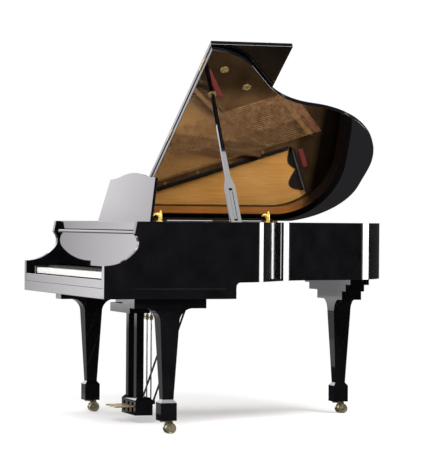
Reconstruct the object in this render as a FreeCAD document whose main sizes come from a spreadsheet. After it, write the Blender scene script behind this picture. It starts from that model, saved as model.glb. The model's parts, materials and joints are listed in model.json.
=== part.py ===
import FreeCAD, Part
import math
import os
import re
import Sketcher
from FreeCAD import Placement, Rotation, Vector

# Grand piano. X runs from bass to treble, Y from the keyboard to the tail, Z up from the floor.
# Lengths are in millimetres and angles in degrees. Setbacks are measured from the front of the arms.

SIZES = (
    ("overrun", 20, "how far a cut runs past the piece that it cuts"),
    ("running_gap", 0.3, "room between faces that move past each other"),
    ("pin_fit", 0.05, "radial room of a pin in its bore"),
    # case
    ("case_width", 1500, "outside width across the arms"),
    ("case_length", 1725, "arm fronts to the tail of the rim"),
    ("rim_top", 986, "floor to the top of the rim"),
    ("rim_bottom", 704, "floor to the underside of the rim"),
    ("rim_thickness", 36, "outer rim"),
    ("shoulder_turn", 50, "angle that the bentside turns through there"),
    ("waist_heading", 9, "angle left after the hollow bend"),
    ("rim_step_radius", 22, "hollow corner where the rim steps down to the keybed"),
    ("arm_top_setback", 157, "front of the arm at the rim top"),
    ("arm_neck_setback", 146, "front of the arm above its hollow"),
    ("arm_neck_drop", 56, "rim top to the neck"),
    ("arm_hollow_setback", 165, "deepest point of the hollow"),
    ("arm_hollow_drop", 96, "rim top to the deepest point"),
    ("arm_knee_setback", 150, "foot of the hollow"),
    ("arm_knee_drop", 138, "rim top to the foot of the hollow"),
    ("arm_toe_setback", 108, "middle of the sweep to the cheek"),
    ("arm_toe_drop", 174, "rim top to the middle of the sweep"),
    ("cheek_drop", 205, "rim top to the top of the cheek front"),
    ("keybed_bottom", 628, "floor to the keybed"),
    ("keybed_thickness", 48, "keybed"),
    ("keybed_depth", 646, "keybed front to back"),
    ("inner_rim_thickness", 40, "inner rim"),
    ("glue_gap", 0.2, "glue line between curved faces"),
    ("belly_setback", 560, "front of the belly rail"),
    ("belly_thickness", 36, "belly rail"),
    ("brace_width", 70, "case braces"),
    ("brace_depth", 90, "case braces"),
    # soundboard and bridges
    ("soundboard_drop", 124, "rim top to the underside of the soundboard"),
    ("soundboard_thickness", 9, "soundboard panel"),
    ("rib_width", 24, "soundboard ribs"),
    ("rib_depth", 20, "soundboard ribs"),
    ("bridge_width", 30, "bridges"),
    ("bridge_overhang", 5, "bridge past its last string"),
    # iron plate and pinblock
    ("plate_drop", 100, "rim top to the underside of the plate"),
    ("plate_thickness", 12, "plate"),
    ("plate_margin", 3, "room between plate and rim"),
    ("plate_setback", 296, "front edge of the plate"),
    ("plate_flange", 45, "plate edge along the rim"),
    ("plate_lip", 8, "plate behind the string ends"),
    ("strut_width", 18, "plate struts"),
    ("strut_depth", 46, "plate struts"),
    ("bass_strut_width", 50, "plate edge beside the lowest string"),
    ("strut_seat", 40, "how far a strut runs onto the plate behind its opening"),
    ("bolt_radius", 9, "heads of the plate bolts"),
    ("bolt_height", 6, "heads of the plate bolts"),
    ("pinblock_setback", 300, "front of the pinblock"),
    ("pinblock_depth", 140, "pinblock front to back"),
    ("pinblock_thickness", 40, "pinblock"),
    # strings
    ("string_rise", 36, "plate underside to the plain strings"),
    ("bass_rise", 50, "plate underside to the wound strings"),
    ("plain_wire_radius", 0.5, "plain strings"),
    ("wound_wire_radius", 1.6, "wound strings"),
    ("unison_gap", 3, "strings of one note"),
    ("bass_agraffe_setback", 400, "front end of the lowest string"),
    ("treble_agraffe_setback", 530, "front end of the highest string"),
    ("top_string", 52, "speaking length of the highest note"),
    ("hitch_tail", 66, "string behind the bridge"),
    ("tuning_pin_radius", 2.6, "tuning pins"),
    ("tuning_pin_length", 46, "tuning pin above the plate"),
    ("tuning_pin_setback", 328, "first row of tuning pins"),
    ("tuning_row_pitch", 32, "rows of tuning pins"),
    ("felt_depth", 10, "felt strips under the strings"),
    ("felt_setback", 26, "felt strip to the string ends"),
    ("damper_setback", 552, "front of the damper heads"),
    ("damper_length", 56, "damper heads"),
    ("damper_width", 8.4, "damper heads"),
    ("damper_height", 15, "damper heads"),
    # keyboard
    ("keyslip_thickness", 24, "keyslip"),
    ("keyslip_top", 716, "floor to the top of the keyslip"),
    ("key_setback", 30, "front of the natural keys"),
    ("cheek_width", 103, "room between the keys and each arm"),
    ("key_gap", 0.8, "gap between keys"),
    ("sharp_front_gap", 2, "room in front of a sharp, which swings forward as it is pressed"),
    ("key_top", 747, "floor to the top of the natural keys"),
    ("key_height", 28, "keys"),
    ("key_head", 50, "wide head of a natural key"),
    ("key_shown", 140, "part of a key in front of the fallboard"),
    ("key_length", 400, "keys"),
    ("sharp_rise", 12, "sharp key above the natural keys"),
    ("sharp_slope", 6, "slope of a sharp key's front"),
    ("balance_setback", 240, "balance line of the keys"),
    ("bead_radius", 4, "round bead of the balance rail that the keys rock on"),
    ("key_rail_depth", 30, "rails of the key frame"),
    ("front_rail_top", 704, "floor to the front rail"),
    ("block_gap", 4, "room for the keyboard to shift between the key blocks"),
    ("key_block_drop", 8, "key block above the natural keys"),
    ("bracket_width", 46, "action brackets"),
    ("bracket_depth", 44, "action brackets"),
    ("action_rail_top", 832, "floor to the hammer rail"),
    ("action_rail_height", 20, "hammer rail"),
    ("action_rail_setback", 385, "front of the hammer rail"),
    ("strike_setback", 540, "hammer line"),
    ("shank_radius", 3, "hammer shanks"),
    ("hammer_width", 9, "hammer heads"),
    ("hammer_length", 22, "hammer heads"),
    ("hammer_height", 50, "hammer heads"),
    # fallboard
    ("fallboard_front", 172, "front face of the open fallboard"),
    ("fallboard_thickness", 20, "fallboard"),
    ("fallboard_bottom", 767, "floor to the bottom of the fallboard"),
    ("fallboard_top", 942, "floor to the top of the fallboard"),
    ("fallboard_nose", 12, "lip along the top"),
    ("fallboard_nose_height", 15, "lip along the top"),
    ("fallboard_pivot_inset", 6, "fallboard pivot behind the front face"),
    ("fallboard_pivot_rise", 8, "fallboard pivot above the lower edge"),
    ("fallboard_pin_radius", 4, "pivot pins"),
    ("fallboard_pin_length", 14, "pivot pin in the fallboard"),
    ("arm_gap", 2, "side room between the arms"),
    # music shelf and desk
    ("shelf_front", 176, "front of the shelf board"),
    ("apron_thickness", 20, "front board of the shelf"),
    ("apron_top", 984, "floor to the top of the front board"),
    ("shelf_bottom", 946, "floor to the underside of the shelf"),
    ("shelf_thickness", 14, "shelf board"),
    ("shelf_depth", 290, "shelf front to back"),
    ("ledge_depth", 78, "raised ledge in front of the desk"),
    ("ledge_height", 4, "raised ledge in front of the desk"),
    ("runner_width", 14, "runners of the shelf"),
    ("runner_height", 12, "runners of the shelf"),
    ("runner_setback", 200, "front of the runners"),
    ("runner_length", 240, "runners of the shelf"),
    ("desk_hinge_setback", 324, "hinge line of the desk"),
    ("desk_hinge_radius", 5.7, "hinge barrels of the desk"),
    ("desk_hinge_length", 60, "hinge barrels of the desk"),
    ("desk_lean", 12, "lean of the desk from upright"),
    ("desk_width", 915, "desk panel at its foot"),
    ("desk_narrowing", 71, "drawing in of each side at the shoulders"),
    ("desk_shoulder", 232, "foot to the shoulders"),
    ("desk_crest", 28, "rise of the crest over the shoulders"),
    ("desk_thickness", 14, "desk panel"),
    ("desk_prop_reach", 120, "hinge line to the prop pivot"),
    ("desk_prop_width", 40, "desk prop"),
    ("desk_prop_thickness", 7, "desk prop"),
    ("desk_prop_pin_radius", 2.5, "pin of the desk prop"),
    ("desk_prop_eye_radius", 5.4, "eye of the desk prop"),
    # lid
    ("lid_overhang", 10, "lid past the rim"),
    ("lid_thickness", 22, "main lid and front lid"),
    ("lid_gap", 4, "closed lid above the rim"),
    ("lid_open", 32.4, "opening angle of the lid on its prop"),
    ("lid_front", 590, "front edge of the main lid"),
    ("flap_front", 175, "front edge of the front lid when unfolded"),
    ("flap_gap", 2, "gap between main lid and front lid"),
    ("lid_knuckle_radius", 6, "barrels of the lid hinges"),
    ("flap_knuckle_radius", 5, "barrels of the front lid hinges"),
    ("hinge_length", 90, "hinges"),
    ("hinge_pin_radius", 2.5, "hinge pins"),
    ("leaf_width", 30, "hinge leaves"),
    ("leaf_thickness", 2.5, "hinge leaves"),
    ("cup_radius", 21, "prop cups under the lid"),
    ("cup_thickness", 4, "prop cups under the lid"),
    # lid prop
    ("prop_foot_inset", 96, "prop pivot to the case side"),
    ("prop_foot_drop", 28, "rim top to the prop pivot"),
    ("prop_thickness", 18, "prop"),
    ("prop_paddle_width", 52, "paddle at the foot of the prop"),
    ("prop_paddle_length", 236, "paddle above the pivot"),
    ("prop_shoulder_length", 48, "shoulder between paddle and stick"),
    ("prop_stick_width", 24, "stick at the shoulder"),
    ("prop_tip_width", 13, "stick at the tip"),
    ("prop_heel", 20, "prop below its pivot"),
    ("prop_slot_start", 36, "pivot to the slot"),
    ("prop_slot_length", 186, "slot for the half prop"),
    ("prop_slot_width", 17, "slot for the half prop"),
    ("half_prop_width", 13, "half prop"),
    ("prop_pin_radius", 5, "pivot pin of the prop"),
    ("half_pin_radius", 2, "pivot pin of the half prop"),
    ("prop_block_length", 60, "block that carries the prop"),
    ("prop_block_height", 40, "block that carries the prop"),
    # lid hooks
    ("hook_front_setback", 269, "front lid hook"),
    ("hook_base_radius", 14, "base of a lid hook"),
    ("hook_base_height", 4, "base of a lid hook"),
    ("hook_post_radius", 6, "post of a lid hook"),
    ("hook_post_height", 28, "post of a lid hook"),
    ("hook_arm_length", 30, "arm of a lid hook"),
    ("hook_arm_height", 10, "arm of a lid hook"),
    ("hook_thumb_height", 16, "thumb piece of a lid hook"),
    # legs and casters
    ("front_leg_inset", 93, "front legs to the side of the case"),
    ("front_leg_setback", 332, "front legs"),
    ("tail_leg_inset", 170, "tail leg to the tail of the rim"),
    ("capital_length", 350, "leg capital along its long side"),
    ("capital_width", 106, "leg capital across"),
    ("capital_depth", 44, "leg capital"),
    ("flare_radius", 66, "hollow flare under the capital"),
    ("shaft_top", 92, "leg shaft at the top"),
    ("ankle_width", 53, "leg shaft at the ankle"),
    ("ankle_height", 160, "floor to the ankle"),
    ("foot_width", 78, "foot block"),
    ("foot_height", 145, "floor to the top of the foot block"),
    ("foot_bottom", 62, "floor to the foot block"),
    ("tail_board_length", 648, "upper tail board"),
    ("tail_board_shift", 40, "middle of the boards towards the spine"),
    ("tail_board_width", 102, "tail boards"),
    ("tail_board_depth", 32, "upper tail board"),
    ("lower_board_length", 520, "lower tail board"),
    ("lower_board_depth", 35, "lower tail board"),
    ("caster_plate_radius", 30, "caster plate"),
    ("caster_plate_height", 7, "caster plate"),
    ("caster_stem_radius", 6, "caster stem in the foot"),
    ("caster_stem_length", 24, "caster stem in the foot"),
    ("caster_neck_width", 16, "caster neck between the wheels"),
    ("caster_neck_length", 30, "caster neck along the roll"),
    ("caster_trail", 16, "axle behind the stem"),
    ("wheel_radius", 26, "caster wheels"),
    ("wheel_width", 20, "caster wheels"),
    ("axle_radius", 4, "caster axle"),
    # lyre and pedals
    ("lyre_front", 355, "front of the lyre posts"),
    ("post_width", 42, "lyre posts across"),
    ("post_depth", 37, "lyre posts front to back"),
    ("post_pitch", 138, "lyre posts, middle to middle"),
    ("lyre_head_width", 340, "lyre top block"),
    ("lyre_head_front", 322, "front of the lyre top block"),
    ("lyre_head_depth", 88, "lyre top block"),
    ("lyre_head_height", 44, "lyre top block"),
    ("lyre_board_front", 295, "front of the board under the top block"),
    ("lyre_board_depth", 104, "board under the top block"),
    ("lyre_board_height", 44, "board under the top block"),
    ("lyre_box_width", 238, "lyre box"),
    ("lyre_box_depth", 88, "lyre box"),
    ("lyre_box_height", 88, "lyre box"),
    ("lyre_box_bottom", 40, "floor to the lyre box"),
    ("lyre_box_setback", 343, "front of the lyre box"),
    ("lyre_box_bevel", 14, "bevel round the top of the box"),
    ("lyre_box_wall", 12, "walls of the box"),
    ("pedal_pitch", 70, "pedals"),
    ("pedal_slot_width", 34, "pedal slots in the box"),
    ("pedal_slot_height", 50, "pedal slots in the box"),
    ("pedal_width", 20, "pedal arm"),
    ("pedal_toe_width", 44, "pedal toe"),
    ("pedal_toe_length", 52, "pedal toe"),
    ("pedal_thickness", 9, "pedal"),
    ("pedal_height", 86, "floor to the top of the pedals"),
    ("pedal_reach", 96, "toe in front of the lyre box"),
    ("pedal_pivot_setback", 376, "pedal pivots"),
    ("pedal_heel", 68, "pedal behind its pivot"),
    ("pedal_pin_radius", 3, "pedal pivot pins"),
    ("rod_radius", 3.5, "pedal rods"),
    ("rod_reach", 60, "pedal pivot to the rods"),
    ("rod_top_gap", 12, "rod tops to the keybed"),
    ("rod_guide_height", 14, "guide bar of the rods"),
    ("rod_guide_depth", 40, "guide bar of the rods"),
    ("rod_hole_gap", 1, "room of a rod in its guide"),
    ("brace_radius", 5, "lyre braces"),
    ("brace_spread", 92, "lyre braces to the middle"),
    ("brace_foot_height", 102, "floor to the foot of the braces"),
    ("brace_head_setback", 634, "top end of the braces"),
    ("brace_shoe", 18, "shoe at each end of a brace"),
)

# Compass: 88 notes. Each string section lists its first and last note and the places of those
# notes across the inside of the case, as shares of half of that width.
SECTION_SHARES = (
    (1, 26, -0.93, -0.51),
    (27, 45, -0.33, 0.01),
    (46, 64, 0.065, 0.435),
    (65, 88, 0.49, 0.91),
)
NOTE_COUNT = 88
WOUND_NOTE_COUNT = 26
SINGLE_NOTE_COUNT = 10
DAMPED_NOTE_COUNT = 66
BASS_LEAN_SHARE = 0.36
TENOR_LEAN_SHARE = 0.12
# Speaking lengths as shares of the case behind the front end of the lowest string.
LOW_STRING_SHARE = 0.8906
BREAK_STRING_SHARE = 0.7019
TENOR_STRING_SHARE = 0.62
# Bends of the case plan as shares of its length, or of this share of its width where that is less.
BEND_WIDTH_SHARE = 1.15
SHOULDER_RADIUS_SHARE = 0.2203
BENTSIDE_RUN_SHARE = 0.10435
WAIST_RADIUS_SHARE = 0.28116
TAIL_RADIUS_SHARE = 0.32816
CORNER_RADIUS_SHARE = 0.2029
# Cups under the lid: reach from the hinge line as a share of the width, setback as a share of the
# length. The prop stands in the first.
CUP_SHARES = ((0.77, 0.4012), (0.906, 0.4035), (0.814, 0.4933))
PROP_FOOT_SHARE = 0.3907
REAR_HOOK_SHARE = 0.4986
SHARP_WIDTH_SHARE = 0.4426
TAIL_LEG_SHARE = -0.178
# Places of the case braces and of the lid hinges, as shares of half the width and of the length.
BRACE_SHARES = (-0.56, -0.1, 0.32)
LID_HINGE_SHARES = (0.42, 0.62, 0.78)
FLAP_HINGE_SHARES = (-0.8, 0.0, 0.8)
RIB_SHARES = (0.38, 0.45, 0.52, 0.59, 0.66, 0.73, 0.80, 0.87)
BOLT_SHARES = (0.44, 0.54, 0.64, 0.74, 0.84)
# Bare soundboard between the plate and the spine: its front, back and far corner along the length.
SPINE_OPENING_SHARES = (0.35, 0.835, 0.94)
KEY_STRETCHER_SHARES = (-0.8, -0.3, 0.3, 0.8)
DESK_HINGE_SHARES = (-0.7, 0.7)
# The twelve keys of an octave from C: natural or sharp. The compass starts on A.
OCTAVE = "nsnsnnsnsnsn"
FIRST_KEY_INDEX = 9
# First note of each group of keys, and one past the last.
KEY_GROUP_STARTS = (1, 16, 40, 52, 76, 89)

doc = FreeCAD.newDocument("grand_piano")
sheet = doc.addObject("Spreadsheet::Sheet", "sizes")
for row, (alias, value, meaning) in enumerate(SIZES, 1):
    sheet.set(f"A{row}", meaning)
    sheet.set(f"B{row}", str(value))
    sheet.setAlias(f"B{row}", alias)
doc.recompute()

ALIAS_WORDS = re.compile(r"\b(" + "|".join(alias for alias, _, _ in SIZES) + r")\b")
FRONT = "-(case_length + lid_overhang) / 2"
FALLBOARD_PIVOT_Y = "(fallboard_front + fallboard_pivot_inset)"
FALLBOARD_PIVOT_Z = "(fallboard_bottom + fallboard_pivot_rise)"
TREBLE_LEG_X = "(case_width / 2 - front_leg_inset)"
BASS_LEG_X = "(front_leg_inset - case_width / 2)"
TAIL_LEG_X = f"({TAIL_LEG_SHARE} * case_width)"
TAIL_LEG_Y = "(case_length - tail_leg_inset)"
# The raised lid stands out past the spine, so the middle of the whole is half of that to one side.
LID_STACK = "(2 * lid_thickness + 2 * flap_knuckle_radius + lid_gap / 2)"
SIDE = f"({LID_STACK} * sin(lid_open * 1deg) + lid_knuckle_radius * (1 - cos(lid_open * 1deg))) / 2"
subparts = []


class Sizes:
    def __getattr__(self, alias):
        return float(sheet.get(alias))


size = Sizes()


def formula(text):
    return ALIAS_WORDS.sub(r"sizes.\1", text)


def bind(obj, **texts):
    for name, text in texts.items():
        obj.setExpression(name, formula(text))


def place(obj, x, y, z):
    for axis, text in zip("xyz", (x, y, z)):
        obj.setExpression(f".Placement.Base.{axis}", formula(text))


# Primitives whose sizes and places are formulas over the sheet.

def box(name, corner, extent):
    obj = doc.addObject("Part::Box", name)
    bind(obj, Length=extent[0], Width=extent[1], Height=extent[2])
    place(obj, *corner)
    return obj


TURNS = {
    "x": Rotation(Vector(0, 1, 0), 90),
    "y": Rotation(Vector(1, 0, 0), -90),
    "z": Rotation(),
}


def rod(name, start, radius, length, axis="z"):
    obj = doc.addObject("Part::Cylinder", name)
    obj.Placement = Placement(Vector(), TURNS[axis])
    bind(obj, Radius=radius, Height=length)
    place(obj, *start)
    return obj


def taper(name, middle, low, high, low_z, high_z):
    obj = doc.addObject("Part::Wedge", name)
    bind(obj, Xmin=f"-({low}) / 2", Xmax=f"({low}) / 2", Zmin=f"-({low}) / 2", Zmax=f"({low}) / 2")
    bind(obj, X2min=f"-({high}) / 2", X2max=f"({high}) / 2", Z2min=f"-({high}) / 2", Z2max=f"({high}) / 2")
    bind(obj, Ymin="0", Ymax=f"{high_z} - ({low_z})")
    obj.Placement = Placement(Vector(), Rotation(Vector(1, 0, 0), 90))
    place(obj, middle[0], middle[1], low_z)
    return obj


def cut(name, base, *tools):
    for number, tool in enumerate(tools):
        step = doc.addObject("Part::Cut", f"{name}_{number}")
        step.Base = base
        step.Tool = tool
        base = step
    return base


def fuse(name, *items):
    obj = doc.addObject("Part::MultiFuse", name)
    obj.Shapes = list(items)
    obj.Refine = True
    return obj


def common(name, first, second):
    obj = doc.addObject("Part::Common", name)
    obj.Base = first
    obj.Tool = second
    return obj


def group(name, *items):
    obj = doc.addObject("Part::Compound", name)
    obj.Links = list(items)
    return obj


def solid(name, shape):
    obj = doc.addObject("Part::Feature", name)
    obj.Shape = shape
    return obj


# Registers an object as a piece of the piano and sets it in the frame, whose origin is on the
# floor under the middle of the piano.

def piece(label, obj):
    obj.Label = label
    for axis, text in (("x", SIDE), ("y", FRONT)):
        path = f".Placement.Base.{axis}"
        own = dict(obj.ExpressionEngine).get(path)
        shift = formula(text)
        obj.setExpression(path, f"{own} + {shift}" if own else shift)
    subparts.append(obj)
    return obj


def placed_piece(label, shape, placement):
    obj = doc.addObject("Part::Feature", label)
    obj.Shape = shape
    obj.Placement = front_placement.multiply(placement)
    obj.Label = label
    subparts.append(obj)
    return obj


# A padded profile: a closed run of lines and arcs, every corner tied to the sheet. A corner is
# (across, up) or, where an arc leads to it, (across, up, radius, turn) with turn "left" or "right".

def arc_ends(start, end, turn):
    return (start, end) if turn == "left" else (end, start)


def arc_between(start, end, radius, turn):
    first, last = arc_ends(start, end, turn)
    chord = last - first
    half = chord.Length / 2
    side = Vector(-chord.y, chord.x, 0).normalize()
    centre = (first + last) / 2 + side * math.sqrt(max(radius * radius - half * half, 0))
    begin = math.atan2(first.y - centre.y, first.x - centre.x)
    finish = math.atan2(last.y - centre.y, last.x - centre.x)
    return Part.ArcOfCircle(Part.Circle(centre, Vector(0, 0, 1), radius), begin, finish)


def value_of(text):
    found = sheet.evalExpression(formula(text).replace("sizes.", ""))
    return float(getattr(found, "Value", found))


def tie_corner(sketch, geo, end, across, up):
    for kind, text, axis_line in (("DistanceX", across, -2), ("DistanceY", up, -1)):
        if text == "0":
            sketch.addConstraint(Sketcher.Constraint("PointOnObject", geo, end, axis_line))
            continue
        number = sketch.addConstraint(Sketcher.Constraint(kind, -1, 1, geo, end, value_of(text)))
        sketch.setExpression(f"Constraints[{number}]", formula(text))


def trace(sketch, corners):
    points = [Vector(value_of(c[0]), value_of(c[1]), 0) for c in corners]
    ends = []
    for number, corner in enumerate(corners):
        start, end = points[number - 1], points[number]
        if len(corner) == 2:
            geo = sketch.addGeometry(Part.LineSegment(start, end), False)
            ends.append((geo, 1, 2))
            continue
        geo = sketch.addGeometry(arc_between(start, end, value_of(corner[2]), corner[3]), False)
        ends.append((geo, 1, 2) if corner[3] == "left" else (geo, 2, 1))
    for number, (geo, start, end) in enumerate(ends):
        next_geo, next_start, _ = ends[(number + 1) % len(ends)]
        sketch.addConstraint(Sketcher.Constraint("Coincident", geo, end, next_geo, next_start))
    for (geo, start, end), corner in zip(ends, corners):
        tie_corner(sketch, geo, end, corner[0], corner[1])
        if len(corner) == 4:
            number = sketch.addConstraint(Sketcher.Constraint("Radius", geo, value_of(corner[2])))
            sketch.setExpression(f"Constraints[{number}]", formula(corner[2]))


def profile(name, plane, corners, depth, offset="0", midplane=False):
    body = doc.addObject("PartDesign::Body", name)
    support = [f for f in body.Origin.OriginFeatures if f.Role == plane][0]
    sketch = body.newObject("Sketcher::SketchObject", name + "_sketch")
    sketch.AttachmentSupport = [(support, "")]
    sketch.MapMode = "FlatFace"
    if offset != "0":
        sketch.setExpression(".AttachmentOffset.Base.z", formula(offset))
    trace(sketch, corners)
    pad = body.newObject("PartDesign::Pad", name + "_pad")
    pad.Profile = sketch
    pad.setExpression("Length", formula(depth))
    pad.Midplane = midplane
    body.Tip = pad
    return body


# The plan of the case. It is worked out once from the bends, and "offset" moves it outward. The
# straight stretch across the tail closes the width and the straight treble side closes the length.

class CasePlan:
    def __init__(self):
        unit = min(size.case_length, BEND_WIDTH_SHARE * size.case_width)
        self.turn = math.radians(size.shoulder_turn)
        self.heading = math.radians(size.waist_heading)
        self.shoulder_radius = SHOULDER_RADIUS_SHARE * unit
        self.waist_radius = WAIST_RADIUS_SHARE * unit
        self.tail_radius = TAIL_RADIUS_SHARE * unit
        self.corner_radius = CORNER_RADIUS_SHARE * unit
        run = BENTSIDE_RUN_SHARE * unit
        depth = self.shoulder_radius * math.sin(self.turn) + run * math.cos(self.turn)
        depth += self.waist_radius * (math.sin(self.turn) - math.sin(self.heading))
        depth += self.tail_radius * (1 - math.sin(self.heading))
        half = size.case_width / 2
        out = Vector(math.cos(self.turn), math.sin(self.turn), 0)
        along = Vector(-math.sin(self.turn), math.cos(self.turn), 0)
        self.shoulder = Vector(half - self.shoulder_radius, size.case_length - depth, 0)
        bend_start = self.shoulder + out * self.shoulder_radius + along * run
        self.waist = bend_start + out * self.waist_radius
        leave = Vector(math.cos(self.heading), math.sin(self.heading), 0)
        self.tail = self.waist - leave * (self.waist_radius + self.tail_radius)
        self.corner = Vector(self.corner_radius - half, size.case_length - self.corner_radius, 0)

    def wire(self, offset):
        half = size.case_width / 2 + offset
        right = math.pi / 2
        treble_front = Vector(half, -size.overrun, 0)
        bass_front = Vector(-half, -size.overrun, 0)

        def bend(centre, radius, begin, finish):
            spots = []
            for angle in (begin, (begin + finish) / 2, finish):
                spots.append(centre + Vector(math.cos(angle), math.sin(angle), 0) * radius)
            return Part.Arc(*spots).toShape()

        def straight(before, after):
            return Part.makeLine(before.Vertexes[-1].Point, after.Vertexes[0].Point)

        shoulder = bend(self.shoulder, self.shoulder_radius + offset, 0, self.turn)
        waist = bend(self.waist, self.waist_radius - offset, math.pi + self.turn, math.pi + self.heading)
        tail = bend(self.tail, self.tail_radius + offset, self.heading, right)
        corner = bend(self.corner, self.corner_radius + offset, right, math.pi)
        edges = [
            Part.makeLine(treble_front, shoulder.Vertexes[0].Point),
            shoulder,
            straight(shoulder, waist),
            waist,
            tail,
            straight(tail, corner),
            corner,
            Part.makeLine(corner.Vertexes[-1].Point, bass_front),
            Part.makeLine(bass_front, treble_front),
        ]
        return Part.Wire(edges)

    def prism(self, offset, front, low, high):
        face = Part.Face(self.wire(offset))
        face.translate(Vector(0, 0, low))
        whole = face.extrude(Vector(0, 0, high - low))
        width = size.case_width + 2 * size.overrun
        length = size.case_length + 2 * size.overrun
        behind = Part.makeBox(width, length, high - low, Vector(-width / 2, front, low))
        return whole.common(behind)

    def edge_x(self, offset, setback):
        line = Part.makeLine(Vector(0, setback, 0), Vector(size.case_width, setback, 0))
        wire = self.wire(offset)
        return wire.distToShape(line)[1][0][0].x


plan = CasePlan()
front_placement = Placement(Vector(value_of(SIDE), value_of(FRONT), 0), Rotation())
inside_half = size.case_width / 2 - size.rim_thickness
inside_half_text = "(case_width / 2 - rim_thickness)"
keybed_top_text = "(keybed_bottom + keybed_thickness)"
plate_z = size.rim_top - size.plate_drop
soundboard_z = size.rim_top - size.soundboard_drop


def polygon(points):
    return Part.Face(Part.makePolygon(list(points) + [points[0]]))


def slab(points, low, high):
    face = polygon([Vector(x, y, low) for x, y in points])
    return face.extrude(Vector(0, 0, high - low))


def post(x, y, low, radius, height):
    return Part.makeCylinder(radius, height, Vector(x, y, low))


def bar(start, end, radius):
    run = end - start
    return Part.makeCylinder(radius, run.Length, start, run)


# Case

def outer_rim():
    low = size.keybed_bottom + size.keybed_thickness
    blank = plan.prism(0, 0, low, size.rim_top)
    room = plan.prism(-size.rim_thickness, -size.overrun, low - size.overrun, size.rim_top + size.overrun)
    ring = solid("rim_ring", blank.cut(room))
    far = "case_length + lid_overhang"
    step = profile(
        "rim_step",
        "YZ_Plane",
        (
            ("keybed_depth", f"{keybed_top_text} - overrun"),
            (far, f"{keybed_top_text} - overrun"),
            (far, "rim_bottom"),
            ("keybed_depth + rim_step_radius", "rim_bottom"),
            ("keybed_depth", "rim_bottom - rim_step_radius", "rim_step_radius", "left"),
        ),
        "case_width + 2 * overrun",
        midplane=True,
    )
    arm = solid("arm_front", arm_cutter())
    return piece("outer_rim", cut("outer_rim_cut", ring, step, arm))


def arm_cutter():
    top = size.rim_top

    def spot(setback, drop):
        return Vector(-size.case_width / 2 - size.overrun, setback, top - drop)

    neck = spot(size.arm_neck_setback, size.arm_neck_drop)
    knee = spot(size.arm_knee_setback, size.arm_knee_drop)
    cheek = spot(0, size.cheek_drop)
    head = spot(size.arm_top_setback, 0)
    above = head + Vector(0, 0, size.overrun)
    ahead = spot(-size.overrun, -size.overrun)
    under = spot(-size.overrun, size.cheek_drop)
    hollow = Part.Arc(neck, spot(size.arm_hollow_setback, size.arm_hollow_drop), knee)
    sweep = Part.Arc(knee, spot(size.arm_toe_setback, size.arm_toe_drop), cheek)
    edges = [
        Part.makeLine(above, head),
        Part.makeLine(head, neck),
        hollow.toShape(),
        sweep.toShape(),
        Part.makeLine(cheek, under),
        Part.makeLine(under, ahead),
        Part.makeLine(ahead, above),
    ]
    return Part.Face(Part.Wire(edges)).extrude(Vector(size.case_width + 2 * size.overrun, 0, 0))


def keybed():
    blank = box(
        "keybed_board",
        ("-case_width / 2", "0", "keybed_bottom"),
        ("case_width", "keybed_depth", "keybed_thickness"),
    )
    outline = solid("keybed_outline", plan.prism(0, 0, 0, size.rim_top))
    return piece("keybed", common("keybed_shape", blank, outline))


def inner_rim():
    front = size.belly_setback + size.belly_thickness
    outside = -size.rim_thickness - size.glue_gap
    shell = plan.prism(outside, front, size.rim_bottom, soundboard_z)
    room = plan.prism(
        outside - size.inner_rim_thickness,
        front - size.overrun,
        size.rim_bottom - size.overrun,
        soundboard_z + size.overrun,
    )
    return piece("inner_rim", solid("inner_rim_ring", shell.cut(room)))


def case_beams():
    blank = box(
        "belly_board",
        (f"-{inside_half_text}", "belly_setback", "rim_bottom"),
        (f"2 * {inside_half_text}", "belly_thickness", "rim_top - soundboard_drop - rim_bottom"),
    )
    inside = plan.prism(-size.rim_thickness - size.glue_gap, 0, size.rim_bottom, size.rim_top)
    belly = common("belly_rail", blank, solid("belly_outline", inside))
    front = size.belly_setback + size.belly_thickness
    inner = -size.rim_thickness - size.inner_rim_thickness - 2 * size.glue_gap
    room = plan.prism(inner, front, size.rim_bottom, size.rim_bottom + size.brace_depth)
    half_width = size.brace_width / 2
    cross_front = value_of(TAIL_LEG_Y) - half_width
    braces = []
    for number, share in enumerate(BRACE_SHARES):
        middle = share * inside_half
        corners = [(middle - half_width, front), (middle + half_width, front)]
        corners += [(middle + half_width, cross_front), (middle - half_width, cross_front)]
        brace = slab(corners, size.rim_bottom, size.rim_bottom + size.brace_depth)
        braces.append(solid(f"brace_{number}", brace.common(room)))
    cross_back = cross_front + size.brace_width
    corners = [(-inside_half, cross_front), (inside_half, cross_front)]
    corners += [(inside_half, cross_back), (-inside_half, cross_back)]
    cross = slab(corners, size.rim_bottom, size.rim_bottom + size.brace_depth)
    braces.append(solid("tail_cross_beam", cross.common(room)))
    return piece("case_beams", group("case_beam_set", belly, *braces))


def soundboard():
    edge = -size.rim_thickness - size.glue_gap
    panel = plan.prism(edge, size.belly_setback, soundboard_z, soundboard_z + size.soundboard_thickness)
    room = plan.prism(
        edge - size.inner_rim_thickness - size.glue_gap,
        size.belly_setback + size.belly_thickness,
        soundboard_z - size.rib_depth,
        soundboard_z,
    )
    solids = [solid("soundboard_panel", panel)]
    for number, share in enumerate(RIB_SHARES):
        back = share * size.case_length + size.rib_width
        corners = [(-inside_half, back - size.rib_width), (inside_half, back - size.rib_width)]
        corners += [(inside_half, back), (-inside_half, back)]
        rib = slab(corners, soundboard_z - size.rib_depth, soundboard_z)
        solids.append(solid(f"soundboard_rib_{number}", rib.common(room)))
    return piece("soundboard", group("soundboard_set", *solids))


# Strings: places of one note from its front end to its hitch.

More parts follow.
